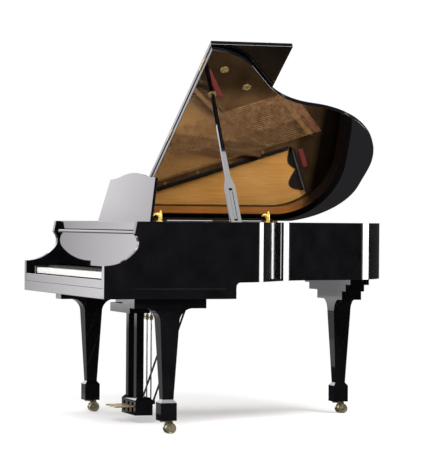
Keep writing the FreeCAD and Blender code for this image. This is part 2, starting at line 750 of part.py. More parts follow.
class Note:
    def __init__(self, number):
        self.number = number
        for first, last, start, end in SECTION_SHARES:
            if first <= number <= last:
                self.first, self.last = first, last
                share = start + (end - start) * (number - first) / (last - first)
        reach = (number - 1) / (NOTE_COUNT - 1)
        setback = size.bass_agraffe_setback
        setback += reach * (size.treble_agraffe_setback - size.bass_agraffe_setback)
        self.front = Vector(share * inside_half, setback, 0)
        room = size.case_length - size.bass_agraffe_setback
        self.wound = number <= WOUND_NOTE_COUNT
        if self.wound:
            part = (number - 1) / (WOUND_NOTE_COUNT - 1)
            share = LOW_STRING_SHARE + part * (BREAK_STRING_SHARE - LOW_STRING_SHARE)
            length = share * room
            lean = BASS_LEAN_SHARE
            self.height = plate_z + size.bass_rise
            self.wire = size.wound_wire_radius
            self.count = 1 if number <= SINGLE_NOTE_COUNT else 2
        else:
            part = (number - WOUND_NOTE_COUNT - 1) / (NOTE_COUNT - WOUND_NOTE_COUNT - 1)
            longest = TENOR_STRING_SHARE * room
            length = longest * (size.top_string / longest) ** part
            lean = -TENOR_LEAN_SHARE * (1 - part)
            self.height = plate_z + size.string_rise
            self.wire = size.plain_wire_radius
            self.count = 3
        self.along = Vector(lean, 1, 0).normalize()
        self.bridge = self.front + self.along * length
        self.hitch = self.bridge + self.along * size.hitch_tail

    def at_setback(self, setback):
        return self.front + self.along * ((setback - self.front.y) / self.along.y)

    def strings(self):
        for number in range(self.count):
            shift = (number - (self.count - 1) / 2) * size.unison_gap
            yield number, Vector(shift, 0, self.height)


notes = [Note(number) for number in range(1, NOTE_COUNT + 1)]
section_ends = [(notes[first - 1], notes[last - 1]) for first, last, _, _ in SECTION_SHARES]


def string_set(wound):
    solids = []
    for note in notes:
        if note.wound != wound:
            continue
        for number, shift in note.strings():
            pin_y = size.tuning_pin_setback + size.tuning_row_pitch * number
            pin_side = Vector(note.front.x, pin_y, 0) + shift
            solids.append(bar(pin_side, note.front + shift, note.wire))
            solids.append(bar(note.front + shift, note.hitch + shift, note.wire))
    return solids


def plain_strings():
    return piece("plain_strings", solid("plain_string_set", Part.makeCompound(string_set(False))))


def wound_strings():
    return piece("wound_strings", solid("wound_string_set", Part.makeCompound(string_set(True))))


def tuning_pins():
    solids = []
    low = plate_z + size.plate_thickness
    radius = size.tuning_pin_radius
    for note in notes:
        for number, shift in note.strings():
            x = note.front.x + shift.x + radius + note.wire + size.running_gap
            y = size.tuning_pin_setback + size.tuning_row_pitch * number
            top = max(size.tuning_pin_length, shift.z - low + radius)
            solids.append(post(x, y, low, radius, top))
    return piece("tuning_pins", solid("tuning_pin_set", Part.makeCompound(solids)))


def bridge_run(first, last):
    middle = notes[(first.number + last.number) // 2 - 1]
    spots = [first.bridge, middle.bridge, last.bridge]
    ends = [(spots[0] - spots[1]).normalize(), (spots[2] - spots[1]).normalize()]
    spots[0] = spots[0] + ends[0] * size.bridge_overhang
    spots[2] = spots[2] + ends[1] * size.bridge_overhang
    half = Vector(0, size.bridge_width / 2, 0)
    low = Vector(0, 0, soundboard_z + size.soundboard_thickness)
    edges = []
    for side in (-half, half):
        curve = Part.BSplineCurve()
        curve.interpolate([spot + side + low for spot in spots])
        edges.append(curve.toShape())
    caps = []
    for end in (0, -1):
        caps.append(Part.makeLine(edges[0].Vertexes[end].Point, edges[1].Vertexes[end].Point))
    face = Part.Face(Part.Wire(Part.__sortEdges__(edges + caps)))
    top = first.height - first.wire - size.running_gap
    return face.extrude(Vector(0, 0, top - low.z))


def bridges():
    runs = [bridge_run(first, last) for first, last in section_ends]
    return piece("bridges", solid("bridge_runs", Part.makeCompound(runs)))


def plate_opening(first, last, low, high):
    spots = [first.front, last.front]
    lip = Vector(0, size.plate_lip, 0)
    room = Vector(size.strut_width, 0, 0)
    middle = notes[(first.number + last.number) // 2 - 1]
    back = Vector(0, -size.plate_lip * 3, 0)
    corners = [spots[0] + lip - room, spots[1] + lip + room]
    corners += [last.hitch + back + room, last.hitch + back, middle.hitch + back]
    corners += [first.hitch + back, first.hitch + back - room]
    return slab([(c.x, c.y) for c in corners], low, high)


def bass_openings(low, high):
    first, last = section_ends[0]
    lip = Vector(0, size.plate_lip, 0)
    room = Vector(size.strut_width, 0, 0)
    corners = [first.front + lip - room, last.front + lip + room]
    corners.append(first.at_setback(strut_meeting(0)) - room)
    string_gap = slab([(c.x, c.y) for c in corners], low, high)
    deep = Vector(0, size.bridge_width, 0)
    ends = (last.bridge - first.bridge).normalize() * size.bridge_width
    corners = [first.bridge - deep - ends, last.bridge - deep + ends]
    corners += [last.bridge + deep + ends, first.bridge + deep - ends]
    return [string_gap, slab([(c.x, c.y) for c in corners], low, high)]


def spine_opening(low, high):
    lowest = notes[0]
    front, back, tail = (share * size.case_length for share in SPINE_OPENING_SHARES)
    gap = Vector(size.strut_width + size.bass_strut_width, 0, 0)
    half = size.case_width / 2
    corners = [Vector(-half, front, 0), lowest.at_setback(front) - gap]
    corners += [lowest.at_setback(back) - gap, Vector(-half, tail, 0)]
    return slab([(c.x, c.y) for c in corners], low, high)


def strut_meeting(gap):
    lowest = notes[0]
    before, after = section_ends[0][1], section_ends[1][0]
    front = (before.front + after.front) / 2
    drift = lowest.along.x / lowest.along.y - after.along.x / after.along.y
    return front.y + (front.x + gap - lowest.at_setback(front.y).x) / drift


def strut_line(number):
    before = section_ends[number][1]
    after = section_ends[number + 1][0]
    front = (before.front + after.front) / 2
    back_y = after.hitch.y + size.strut_seat
    if number == 0:
        back_y = strut_meeting(size.strut_width + size.bass_strut_width / 2)
    back = front + after.along * ((back_y - front.y) / after.along.y)
    return front - after.along * size.strut_seat, back


def strut(number):
    front, back = strut_line(number)
    half = Vector(size.strut_width / 2, 0, 0)
    corners = [front - half, front + half, back + half, back - half]
    return slab([(c.x, c.y) for c in corners], plate_z, plate_z + size.strut_depth)


def iron_plate():
    edge = -size.rim_thickness - size.plate_margin
    low, high = plate_z, plate_z + size.plate_thickness
    blank = plan.prism(edge, size.plate_setback, low, high)
    cut_low, cut_high = low - size.overrun, high + size.overrun
    inside = plan.prism(edge - size.plate_flange, size.plate_setback, cut_low, cut_high)
    openings = bass_openings(cut_low, cut_high)
    openings += [plate_opening(first, last, cut_low, cut_high) for first, last in section_ends[1:]]
    for opening in openings:
        blank = blank.cut(opening.common(inside))
    blank = blank.cut(spine_opening(cut_low, cut_high))
    for number in range(len(SECTION_SHARES) - 1):
        blank = blank.fuse(strut(number))
    return piece("iron_plate", solid("plate_casting", blank.removeSplitter()))


def plate_bolts():
    low = plate_z + size.plate_thickness
    inset = -size.rim_thickness - size.plate_margin - size.plate_flange / 2
    solids = []
    for share in BOLT_SHARES:
        y = share * size.case_length
        solids.append(post(plan.edge_x(inset, y), y, low, size.bolt_radius, size.bolt_height))
        if y < size.case_length - plan.corner_radius:
            x = notes[0].at_setback(y).x - size.strut_width - size.bass_strut_width / 2
            solids.append(post(x, y, low, size.bolt_radius, size.bolt_height))
    return piece("plate_bolts", solid("plate_bolt_set", Part.makeCompound(solids)))


def pinblock():
    blank = box(
        "pinblock_board",
        (f"-{inside_half_text}", "pinblock_setback", "rim_top - plate_drop - pinblock_thickness"),
        (f"2 * {inside_half_text}", "pinblock_depth", "pinblock_thickness"),
    )
    return piece("pinblock", blank)


def string_felts():
    solids = []
    low = plate_z + size.plate_thickness
    for first, last in section_ends:
        ends = [first.front - Vector(0, size.felt_setback, 0), last.front - Vector(0, size.felt_setback, 0)]
        half = Vector(0, size.felt_depth / 2, 0)
        corners = [ends[0] - half, ends[1] - half, ends[1] + half, ends[0] + half]
        top = first.height - first.wire - size.running_gap
        solids.append(slab([(c.x, c.y) for c in corners], low, top))
    return piece("string_felts", solid("string_felt_strips", Part.makeCompound(solids)))


def dampers():
    solids = []
    for note in notes[:DAMPED_NOTE_COUNT]:
        low = note.height + note.wire + size.running_gap
        spot = note.at_setback(size.damper_setback + size.damper_length / 2)
        corner = Vector(spot.x - size.damper_width / 2, size.damper_setback, low)
        solids.append(Part.makeBox(size.damper_width, size.damper_length, size.damper_height, corner))
    return piece("dampers", solid("damper_heads", Part.makeCompound(solids)))


# Keyboard

def keyslip():
    width = f"2 * {inside_half_text} - 2 * running_gap"
    blank = box(
        "keyslip_board",
        (f"-{inside_half_text} + running_gap", "0", keybed_top_text),
        (width, "keyslip_thickness", f"keyslip_top - {keybed_top_text}"),
    )
    return piece("keyslip", blank)


keyboard_half_text = f"({inside_half_text} - cheek_width)"
key_kinds = [OCTAVE[(FIRST_KEY_INDEX + number) % len(OCTAVE)] for number in range(NOTE_COUNT)]
natural_pitch = 2 * value_of(keyboard_half_text) / key_kinds.count("n")


def key_blocks():
    half = keyboard_half_text
    width = f"{inside_half_text} - running_gap - {half} - block_gap"
    extent = (width, "fallboard_front - keyslip_thickness", f"key_top + key_block_drop - {keybed_top_text}")
    blocks = [
        box("treble_block", (f"{half} + block_gap", "keyslip_thickness", keybed_top_text), extent),
        box(
            "bass_block",
            (f"-{inside_half_text} + running_gap", "keyslip_thickness", keybed_top_text),
            extent,
        ),
    ]
    return piece("key_blocks", group("key_block_pair", *blocks))


def key_frame():
    half = keyboard_half_text
    low = f"{keybed_top_text} + running_gap"
    under_keys = "key_top - key_height - running_gap"
    balance_top = f"{under_keys} - bead_radius"
    back = "key_setback + key_length - key_rail_depth"
    rails = [
        box("front_rail", (f"-{half}", "key_setback + key_rail_depth / 2", low),
            (f"2 * {half}", "key_rail_depth", f"front_rail_top - ({low})")),
        box("balance_rail", (f"-{half}", "balance_setback - key_rail_depth / 2", low),
            (f"2 * {half}", "key_rail_depth", f"{balance_top} - ({low})")),
        rod("balance_bead", (f"-{half}", "balance_setback", balance_top),
            "bead_radius", f"2 * {half}", "x"),
        box("back_rail", (f"-{half} - bracket_width - block_gap", back, low),
            (f"2 * ({half} + bracket_width + block_gap)", "key_rail_depth", f"{under_keys} - ({low})")),
    ]
    for number, share in enumerate(KEY_STRETCHER_SHARES):
        left = f"{share} * {half} - key_rail_depth / 2"
        run = f"{back} - key_setback - key_rail_depth / 2"
        rails.append(box(f"stretcher_{number}", (left, "key_setback + key_rail_depth", low),
                         ("key_rail_depth", run, f"front_rail_top - ({low})")))
    frame = fuse("key_frame_rails", *rails)
    rail_low = "(action_rail_top - action_rail_height)"
    reach = f"({half} + block_gap + bracket_width)"
    brackets = []
    for name, left in (("treble_bracket", f"{half} + block_gap"), ("bass_bracket", f"-{reach}")):
        brackets.append(box(name, (left, back, under_keys),
                            ("bracket_width", "bracket_depth", f"{rail_low} - ({under_keys})")))
    rail = box("hammer_rail", (f"-{reach}", "action_rail_setback", rail_low),
               (f"2 * {reach}", f"{back} + bracket_depth - action_rail_setback", "action_rail_height"))
    return piece("key_frame", group("key_frame_set", frame, rail, *brackets))


def hammers():
    solids = []
    rail_back = size.key_setback + size.key_length - size.key_rail_depth + size.bracket_depth
    level = size.action_rail_top - size.action_rail_height / 2
    for note in notes:
        x = note.at_setback(size.strike_setback).x
        start = Vector(x, rail_back, level)
        head = size.strike_setback - size.hammer_length / 2
        shank = bar(start, Vector(x, head, level), size.shank_radius)
        corner = Vector(x - size.hammer_width / 2, head, level - size.hammer_width)
        solids.append(shank)
        solids.append(Part.makeBox(size.hammer_width, size.hammer_length, size.hammer_height, corner))
    return piece("hammers", solid("hammer_set", Part.makeCompound(solids)))


# One key as seen from above, with its place across the keyboard. The three naturals from C and the
# four from F each share their width evenly with the sharps among them behind the heads.

class Key:
    def __init__(self, number):
        index = number - 1
        self.natural = key_kinds[index] == "n"
        self.left = key_kinds[:index].count("n") * natural_pitch - value_of(keyboard_half_text)
        place_in_octave = (FIRST_KEY_INDEX + index) % len(OCTAVE)
        octave_left = self.left - OCTAVE[:place_in_octave].count("n") * natural_pitch
        upper = OCTAVE.index("nn") + 1
        if place_in_octave < upper:
            start = 0
            pitch = OCTAVE[:upper].count("n") * natural_pitch / upper
        else:
            start = OCTAVE[:upper].count("n")
            pitch = OCTAVE[upper:].count("n") * natural_pitch / (len(OCTAVE) - upper)
            place_in_octave -= upper
        self.tail_left = octave_left + start * natural_pitch + place_in_octave * pitch
        self.tail_right = self.tail_left + pitch
        if number == NOTE_COUNT:
            self.tail_right = self.left + natural_pitch
        if number == 1:
            self.tail_left = self.left

    def shape(self):
        gap = size.key_gap / 2
        low, high = size.key_top - size.key_height, size.key_top
        front, back = size.key_setback, size.key_setback + size.key_length
        neck = front + size.key_head
        if self.natural:
            left, right = self.left + gap, self.left + natural_pitch - gap
            tail_left, tail_right = self.tail_left + gap, self.tail_right - gap
            corners = [(left, front), (right, front), (right, neck), (tail_right, neck), (tail_right, back)]
            corners += [(tail_left, back), (tail_left, neck), (left, neck)]
            kept = [c for number, c in enumerate(corners) if c != corners[number - 1]]
            return slab(kept, low, high)
        middle = (self.tail_left + self.tail_right) / 2
        width = SHARP_WIDTH_SHARE * natural_pitch
        left = middle - width / 2
        start = neck + size.sharp_front_gap
        shown = front + size.key_shown
        top = high + size.sharp_rise
        side = [(start, low), (start, high), (start + size.sharp_slope, top), (shown, top), (shown, high)]
        side += [(back, high), (back, low)]
        face = polygon([Vector(left, y, z) for y, z in side])
        return face.extrude(Vector(width, 0, 0))


def key_groups():
    for number in range(len(KEY_GROUP_STARTS) - 1):
        keys = [Key(key) for key in range(KEY_GROUP_STARTS[number], KEY_GROUP_STARTS[number + 1])]
        for name, natural in (("natural", True), ("sharp", False)):
            label = f"{name}_keys_{number + 1}"
            shapes = [key.shape() for key in keys if key.natural == natural]
            piece(label, solid(label + "_set", Part.makeCompound(shapes)))


def fallboard():
    back = "fallboard_front + fallboard_thickness"
    board = profile(
        "fallboard_board",
        "YZ_Plane",
        (
            ("fallboard_front", "fallboard_bottom"),
            (back, "fallboard_bottom"),
            (back, "fallboard_top"),
            ("fallboard_front - fallboard_nose", "fallboard_top"),
            ("fallboard_front - fallboard_nose", "fallboard_top - fallboard_nose_height",
             "fallboard_nose_height", "left"),
            ("fallboard_front", "fallboard_top - fallboard_nose_height"),
        ),
        f"2 * ({inside_half_text} - arm_gap)",
        midplane=True,
    )
    bores = []
    end = f"{inside_half_text} - arm_gap"
    starts = (("treble_bore", f"{end} - fallboard_pin_length"), ("bass_bore", f"-({end}) - overrun"))
    for name, start in starts:
        bores.append(rod(name, (start, FALLBOARD_PIVOT_Y, FALLBOARD_PIVOT_Z),
                         "fallboard_pin_radius + pin_fit", "fallboard_pin_length + overrun", "x"))
    return piece("fallboard", cut("fallboard_bored", board, *bores))


# Music shelf and desk

def music_shelf():
    width = f"2 * ({inside_half_text} - arm_gap)"
    left = f"-({inside_half_text} - arm_gap)"
    corner = (left, "shelf_front", "shelf_bottom")
    board = box("shelf_board", corner, (width, "shelf_depth", "shelf_thickness"))
    apron = box("shelf_apron", corner, (width, "apron_thickness", "apron_top - shelf_bottom"))
    ledge = box("shelf_ledge", ("-desk_width / 2", "shelf_front + apron_thickness", "shelf_bottom"),
                ("desk_width", "ledge_depth", "shelf_thickness + ledge_height"))
    return piece("music_shelf", fuse("shelf_joined", board, apron, ledge))


desk_axis = Vector(
    0,
    size.desk_hinge_setback,
    size.shelf_bottom + size.shelf_thickness + size.desk_hinge_radius + size.running_gap,
)
desk_turn = Placement(Vector(), Rotation(Vector(1, 0, 0), -size.desk_lean), desk_axis)


def music_desk():
    half, shoulder_half = size.desk_width / 2, size.desk_width / 2 - size.desk_narrowing
    back = desk_axis.y - size.desk_hinge_radius
    low = desk_axis.z

    def spot(x, rise):
        return Vector(x, back, low + rise)

    shoulder = size.desk_shoulder
    crest = shoulder + size.desk_crest
    wing = shoulder_half / 2
    wing_rise = shoulder + size.desk_crest / 2
    bend = size.desk_crest / 4
    outline = [
        Part.makeLine(spot(-half, 0), spot(half, 0)),
        Part.makeLine(spot(half, 0), spot(shoulder_half, shoulder)),
        Part.Arc(spot(shoulder_half, shoulder), spot(shoulder_half * 3 / 4, shoulder + bend / 2),
                 spot(wing, wing_rise)).toShape(),
        Part.Arc(spot(wing, wing_rise), spot(0, crest), spot(-wing, wing_rise)).toShape(),
        Part.Arc(spot(-wing, wing_rise), spot(-shoulder_half * 3 / 4, shoulder + bend / 2),
                 spot(-shoulder_half, shoulder)).toShape(),
        Part.makeLine(spot(-shoulder_half, shoulder), spot(-half, 0)),
    ]
    panel = Part.Face(Part.Wire(outline)).extrude(Vector(0, -size.desk_thickness, 0))
    length = size.desk_hinge_length
    for share in DESK_HINGE_SHARES:
        start = Vector(share * half - length / 2, desk_axis.y, desk_axis.z)
        barrel = Part.makeCylinder(size.desk_hinge_radius, length, start, Vector(1, 0, 0))
        web = Part.makeBox(length, size.desk_hinge_radius, size.desk_hinge_radius,
                           start - Vector(0, size.desk_hinge_radius, 0))
        panel = panel.fuse(barrel).fuse(web)
    eye_z = low + size.desk_prop_reach
    for side in (-1, 1):
        width = size.desk_prop_width / 2
        start = side * (width / 2 + size.running_gap)
        corner = Vector(min(start, start + side * width / 2), back, eye_z - size.desk_prop_eye_radius)
        ear = Part.makeBox(width / 2, size.desk_hinge_radius * 2, size.desk_prop_eye_radius * 2, corner)
        panel = panel.fuse(ear)
    pin_start = Vector(-size.desk_prop_width / 2, desk_axis.y, eye_z)
    pin = Part.makeCylinder(size.desk_prop_pin_radius, size.desk_prop_width, pin_start, Vector(1, 0, 0))
    return placed_piece("music_desk", panel.fuse(pin).removeSplitter(), desk_turn)


def desk_prop():
    lean = math.radians(size.desk_lean)
    reach = size.desk_prop_reach
    top = desk_axis + Vector(0, math.sin(lean), math.cos(lean)) * reach
    foot = desk_axis + Vector(0, 2 * reach * math.sin(lean), 0)
    width = size.desk_prop_width / 2
    left = Vector(-width / 2, 0, 0)
    across = Vector(1, 0, 0)
    eye = Part.makeCylinder(size.desk_prop_eye_radius, width, top + left, across)
    toe = Part.makeCylinder(size.desk_hinge_radius, width, foot + left, across)
    run = foot - top
    side = Vector(0, -run.z, run.y).normalize() * (size.desk_prop_thickness / 2)
    corners = [top + side, foot + side, foot - side, top - side]
    stem = polygon([c + left for c in corners]).extrude(across * width)
    bore = Part.makeCylinder(size.desk_prop_pin_radius + size.pin_fit, width, top + left, across)
    shape = eye.fuse(toe).fuse(stem).cut(bore)
    return piece("desk_prop", solid("desk_prop_stick", shape.removeSplitter()))


# Lid. It is drawn closed and turned open on its hinge line; the front lid is drawn unfolded and
# folded back over the main lid.

hinge_line = Vector(-size.case_width / 2 - size.lid_knuckle_radius, 0, size.rim_top + size.lid_gap / 2)
lid_turn = Placement(Vector(), Rotation(Vector(0, 1, 0), -size.lid_open), hinge_line)
lid_low = size.rim_top + size.lid_gap
lid_high = lid_low + size.lid_thickness
flap_line = Vector(0, size.lid_front - size.flap_gap / 2, lid_high + size.flap_knuckle_radius)
flap_turn = lid_turn.multiply(Placement(Vector(), Rotation(Vector(1, 0, 0), 180), flap_line))


def main_lid():
    blank = plan.prism(size.lid_overhang, size.lid_front, lid_low, lid_high)
    spine = Part.makeBox(
        size.case_width + size.lid_overhang,
        size.case_length + size.lid_overhang,
        size.lid_thickness,
        Vector(-size.case_width / 2, 0, lid_low),
    )
    return placed_piece("main_lid", blank.common(spine), lid_turn)


def front_lid():
    shape = Part.makeBox(
        size.case_width + size.lid_overhang,
        size.lid_front - size.flap_gap - size.flap_front,
        size.lid_thickness,
        Vector(-size.case_width / 2, size.flap_front, lid_low),
    )
    return placed_piece("front_lid", shape, flap_turn)


# A hinge about its own Y axis. The fixed leaf hangs down and holds the middle barrel; the moving
# leaf stands up and holds the end barrels and the pin. Both lie against the plane X = radius.

def hinge_leaves(radius, leaf_reach):
    length = size.hinge_length
    third = length / 3
    gap = size.running_gap
    thick = size.leaf_thickness
    clear = radius + gap
    axis = Vector(0, 1, 0)

    def plate(y, run, low, high):
        return Part.makeBox(thick, run, high - low, Vector(radius - thick, y, low))

    def barrel(y, run):
        return Part.makeCylinder(radius, run, Vector(0, y, 0), axis)

    half_run = third - 2 * gap
    fixed = plate(-length / 2, length, -leaf_reach, -clear)
    fixed = fixed.fuse(plate(-half_run / 2, half_run, -clear, 0)).fuse(barrel(-half_run / 2, half_run))
    bore_radius = size.hinge_pin_radius + size.pin_fit
    bore = Part.makeCylinder(bore_radius, half_run, Vector(0, -half_run / 2, 0), axis)
    moving = plate(-length / 2, length, clear, leaf_reach)
    for y in (-length / 2, length / 2 - third):
        moving = moving.fuse(plate(y, third, 0, clear)).fuse(barrel(y, third))
    pin = Part.makeCylinder(size.hinge_pin_radius, length, Vector(0, -length / 2, 0), axis)
    return fixed.cut(bore).removeSplitter(), moving.fuse(pin).removeSplitter()


def moved(shape, placement):
    copy = shape.copy()
    copy.Placement = placement
    return copy


def lid_hinge_spots():
    for share in LID_HINGE_SHARES:
        yield Placement(Vector(hinge_line.x, share * size.case_length, hinge_line.z), Rotation())


def flap_hinge_spots():
    turn = Rotation(Vector(0, 0, -1), Vector(1, 0, 0), Vector(0, -1, 0), "XYZ")
    for share in FLAP_HINGE_SHARES:
        yield Placement(Vector(share * size.case_width / 2, flap_line.y, flap_line.z), turn)


def case_fittings():
    solids = []
    fixed, _ = hinge_leaves(size.lid_knuckle_radius, size.leaf_width)
    for spot in lid_hinge_spots():
        solids.append(moved(fixed, spot))
    length = size.fallboard_pin_length + size.arm_gap
    for side in (-1, 1):
        start = Vector(side * inside_half, value_of(FALLBOARD_PIVOT_Y), value_of(FALLBOARD_PIVOT_Z))
        run = Vector(-side, 0, 0)
        solids.append(Part.makeCylinder(size.fallboard_pin_radius, length - size.running_gap, start, run))
    return piece("case_fittings", solid("case_fitting_set", Part.makeCompound(solids)))


def lid_fittings():
    solids = []
    _, moving = hinge_leaves(size.lid_knuckle_radius, size.lid_thickness)
    for spot in lid_hinge_spots():
        solids.append(moved(moving, spot))
    fixed, _ = hinge_leaves(size.flap_knuckle_radius, size.leaf_width)
    for spot in flap_hinge_spots():
        solids.append(moved(fixed, spot))
    low = lid_low - size.cup_thickness
    for reach, setback in CUP_SHARES:
        x = hinge_line.x + reach * size.case_width
        solids.append(post(x, setback * size.case_length, low, size.cup_radius, size.cup_thickness))
    return placed_piece("lid_fittings", Part.makeCompound(solids), lid_turn)


def flap_hinges():
    _, moving = hinge_leaves(size.flap_knuckle_radius, size.leaf_width)
    solids = [moved(moving, spot) for spot in flap_hinge_spots()]
    return placed_piece("flap_hinges", Part.makeCompound(solids), flap_turn)


# Lid prop. Its own X runs from the pivot to the tip, Y across the paddle and Z along the pivot pin.

prop_foot = Vector(
    size.case_width / 2 - size.prop_foot_inset,
    PROP_FOOT_SHARE * size.case_length,
    size.rim_top - size.prop_foot_drop,
)
cup_face = Vector(
    hinge_line.x + CUP_SHARES[0][0] * size.case_width,
    CUP_SHARES[0][1] * size.case_length,
    lid_low - size.cup_thickness - 2 * size.running_gap,
)
prop_tip = lid_turn.multVec(cup_face)
prop_run = (prop_tip - prop_foot).normalize()
prop_length = (prop_tip - prop_foot).Length
prop_axis = prop_run.cross(Vector(0, -1, 0)).normalize()
prop_frame = Placement(
    prop_foot,
    Rotation(prop_run, prop_axis.cross(prop_run), prop_axis, "XYZ"),
)


def half_slot():
    start = size.prop_slot_start
    return start, start + size.prop_slot_length


def lid_prop():
    paddle = size.prop_paddle_width / 2
    stick = size.prop_stick_width / 2
    tip = size.prop_tip_width / 2
    shoulder = size.prop_paddle_length
    neck = shoulder + size.prop_shoulder_length
    upper = [(-size.prop_heel, paddle), (shoulder, paddle), (neck, stick), (prop_length - tip, tip)]
    lower = [(x, -y) for x, y in reversed(upper)]
    half = size.prop_thickness / 2
    shape = slab(upper + lower, -half, half)
    nose = Part.makeCylinder(tip, size.prop_thickness, Vector(prop_length - tip, 0, -half))
    shape = shape.fuse(nose)
    start, end = half_slot()
    slot_half = size.prop_slot_width / 2
    slot = slab([(start, -slot_half), (end, -slot_half), (end, slot_half), (start, slot_half)],
                -half - size.overrun, half + size.overrun)
    pin_hole = post(0, 0, -half - size.overrun, size.prop_pin_radius + size.pin_fit,
                    size.prop_thickness + 2 * size.overrun)
    shape = shape.cut(slot).cut(pin_hole)
    pin_x = start + size.half_prop_width
    pin_start = Vector(pin_x, -slot_half, 0)
    pin = Part.makeCylinder(size.half_pin_radius, size.prop_slot_width, pin_start, Vector(0, 1, 0))
    return placed_piece("lid_prop", shape.fuse(pin).removeSplitter(), prop_frame)


def half_prop():
    start, end = half_slot()
    width = size.half_prop_width
    pin_x = start + width
    across = Vector(0, 1, 0)
    edge = Vector(pin_x, -width / 2, 0)
    body = Part.makeBox(end - width - pin_x, width, width, edge - Vector(0, 0, width / 2))
    eye = Part.makeCylinder(width / 2, width, edge, across)
    bore = Part.makeCylinder(size.half_pin_radius + size.pin_fit, width, edge, across)
    shape = body.fuse(eye).cut(bore)
    return placed_piece("half_prop", shape.removeSplitter(), prop_frame)


def prop_block():
    half = size.prop_thickness / 2
    length = size.prop_block_length
    width = size.prop_paddle_width
    corner = Vector(-length / 2, -width / 2, half + size.running_gap)
    pad = moved(Part.makeBox(length, width, size.case_width, corner), prop_frame)
    room = plan.prism(-size.rim_thickness - size.glue_gap, 0, prop_foot.z - size.prop_block_height / 2,
                      size.rim_top)
    block = pad.common(room)
    pin_length = size.prop_thickness + size.running_gap
    pin = moved(post(0, 0, -half, size.prop_pin_radius, pin_length), prop_frame)
    return piece("prop_block", solid("prop_block_and_pin", block.fuse(pin).removeSplitter()))


def lid_hook(label, setback):
    x = plan.edge_x(-size.rim_thickness / 2, setback)
    low = size.rim_top + size.running_gap
    base = post(x, setback, low, size.hook_base_radius, size.hook_base_height)
    stem = post(x, setback, low, size.hook_post_radius, size.hook_post_height)
    radius = size.hook_post_radius
    height = size.hook_arm_height
    corner = Vector(x - radius, setback - size.hook_arm_length, low + size.hook_post_height)
    arm = Part.makeBox(2 * radius, size.hook_arm_length + size.hook_base_radius, height, corner)
    beak = Part.makeBox(2 * radius, height, height, corner - Vector(0, 0, height))
    thumb = post(x, setback + size.hook_base_radius - radius, corner.z, radius, height + size.hook_thumb_height)
    casting = base.fuse([stem, arm, beak, thumb]).removeSplitter()
    return piece(label, solid(label + "_casting", casting))


# Legs and casters

def leg(label, x, y, top, along_x):
    name = label + "_"
    capital_low = f"({top} - capital_depth)"
    flare_low = f"({capital_low} - flare_radius)"

    def oriented(part, near, run, cross, low, height):
        corner = [f"{x} + {near}", f"{y} - ({cross}) / 2", low]
        extent = [run, cross, height]
        if not along_x:
            corner[0], corner[1] = f"{x} - ({cross}) / 2", f"{y} + {near}"
            extent[0], extent[1] = cross, run
        return box(name + part, corner, extent)

    def cross_rod(part, across, level, radius):
        start = [f"{x} + {across}", f"{y} - capital_width", level]
        if not along_x:
            start[0], start[1] = f"{x} - capital_width", f"{y} + {across}"
        return rod(name + part, start, radius, "2 * capital_width", "y" if along_x else "x")

    capital = oriented("capital", "-capital_length / 2", "capital_length", "capital_width",
                       capital_low, "capital_depth")
    flare = oriented("flare", "-shaft_top / 2 - flare_radius", "shaft_top + 2 * flare_radius", "shaft_top",
                     flare_low, "flare_radius")
    left = cross_rod("flare_left", "-shaft_top / 2 - flare_radius", flare_low, "flare_radius")
    right = cross_rod("flare_right", "shaft_top / 2 + flare_radius", flare_low, "flare_radius")
    flare = cut(name + "flare_cut", flare, left, right)
    shaft = taper(name + "shaft", (x, y), "ankle_width", "shaft_top", "ankle_height", flare_low)
    bevel = taper(name + "bevel", (x, y), "foot_width", "ankle_width", "foot_height", "ankle_height")
    foot = box(name + "foot", (f"{x} - foot_width / 2", f"{y} - foot_width / 2", "foot_bottom"),
               ("foot_width", "foot_width", "foot_height - foot_bottom"))
    whole = fuse(name + "joined", capital, flare, shaft, bevel, foot)
    bore = rod(name + "stem_bore", (x, y, "foot_bottom - overrun"), "caster_stem_radius + pin_fit",
               "caster_stem_length + overrun + running_gap")
    return cut(name + "bored", whole, bore)


def front_legs():
    piece("leg_treble", leg("leg_treble", TREBLE_LEG_X, "front_leg_setback", "keybed_bottom", False))
    piece("leg_bass", leg("leg_bass", BASS_LEG_X, "front_leg_setback", "keybed_bottom", False))


def tail_leg():
    x, y = TAIL_LEG_X, TAIL_LEG_Y
    lower_top = "(rim_bottom - tail_board_depth)"
    leg_top = f"({lower_top} - lower_board_depth)"
    front = f"{y} - tail_board_width / 2"
    upper = box("tail_board_upper", (f"{x} - tail_board_shift - tail_board_length / 2", front, lower_top),
                ("tail_board_length", "tail_board_width", "tail_board_depth"))
    lower = box("tail_board_lower", (f"{x} - tail_board_shift - lower_board_length / 2", front, leg_top),
                ("lower_board_length", "tail_board_width", "lower_board_depth"))
    stem = leg("leg_tail", x, y, leg_top, True)
    return piece("leg_tail", group("tail_leg_set", upper, lower, stem))


CASTERS = (
    ("treble", TREBLE_LEG_X, "front_leg_setback"),
    ("bass", BASS_LEG_X, "front_leg_setback"),
    ("tail", TAIL_LEG_X, TAIL_LEG_Y),
)


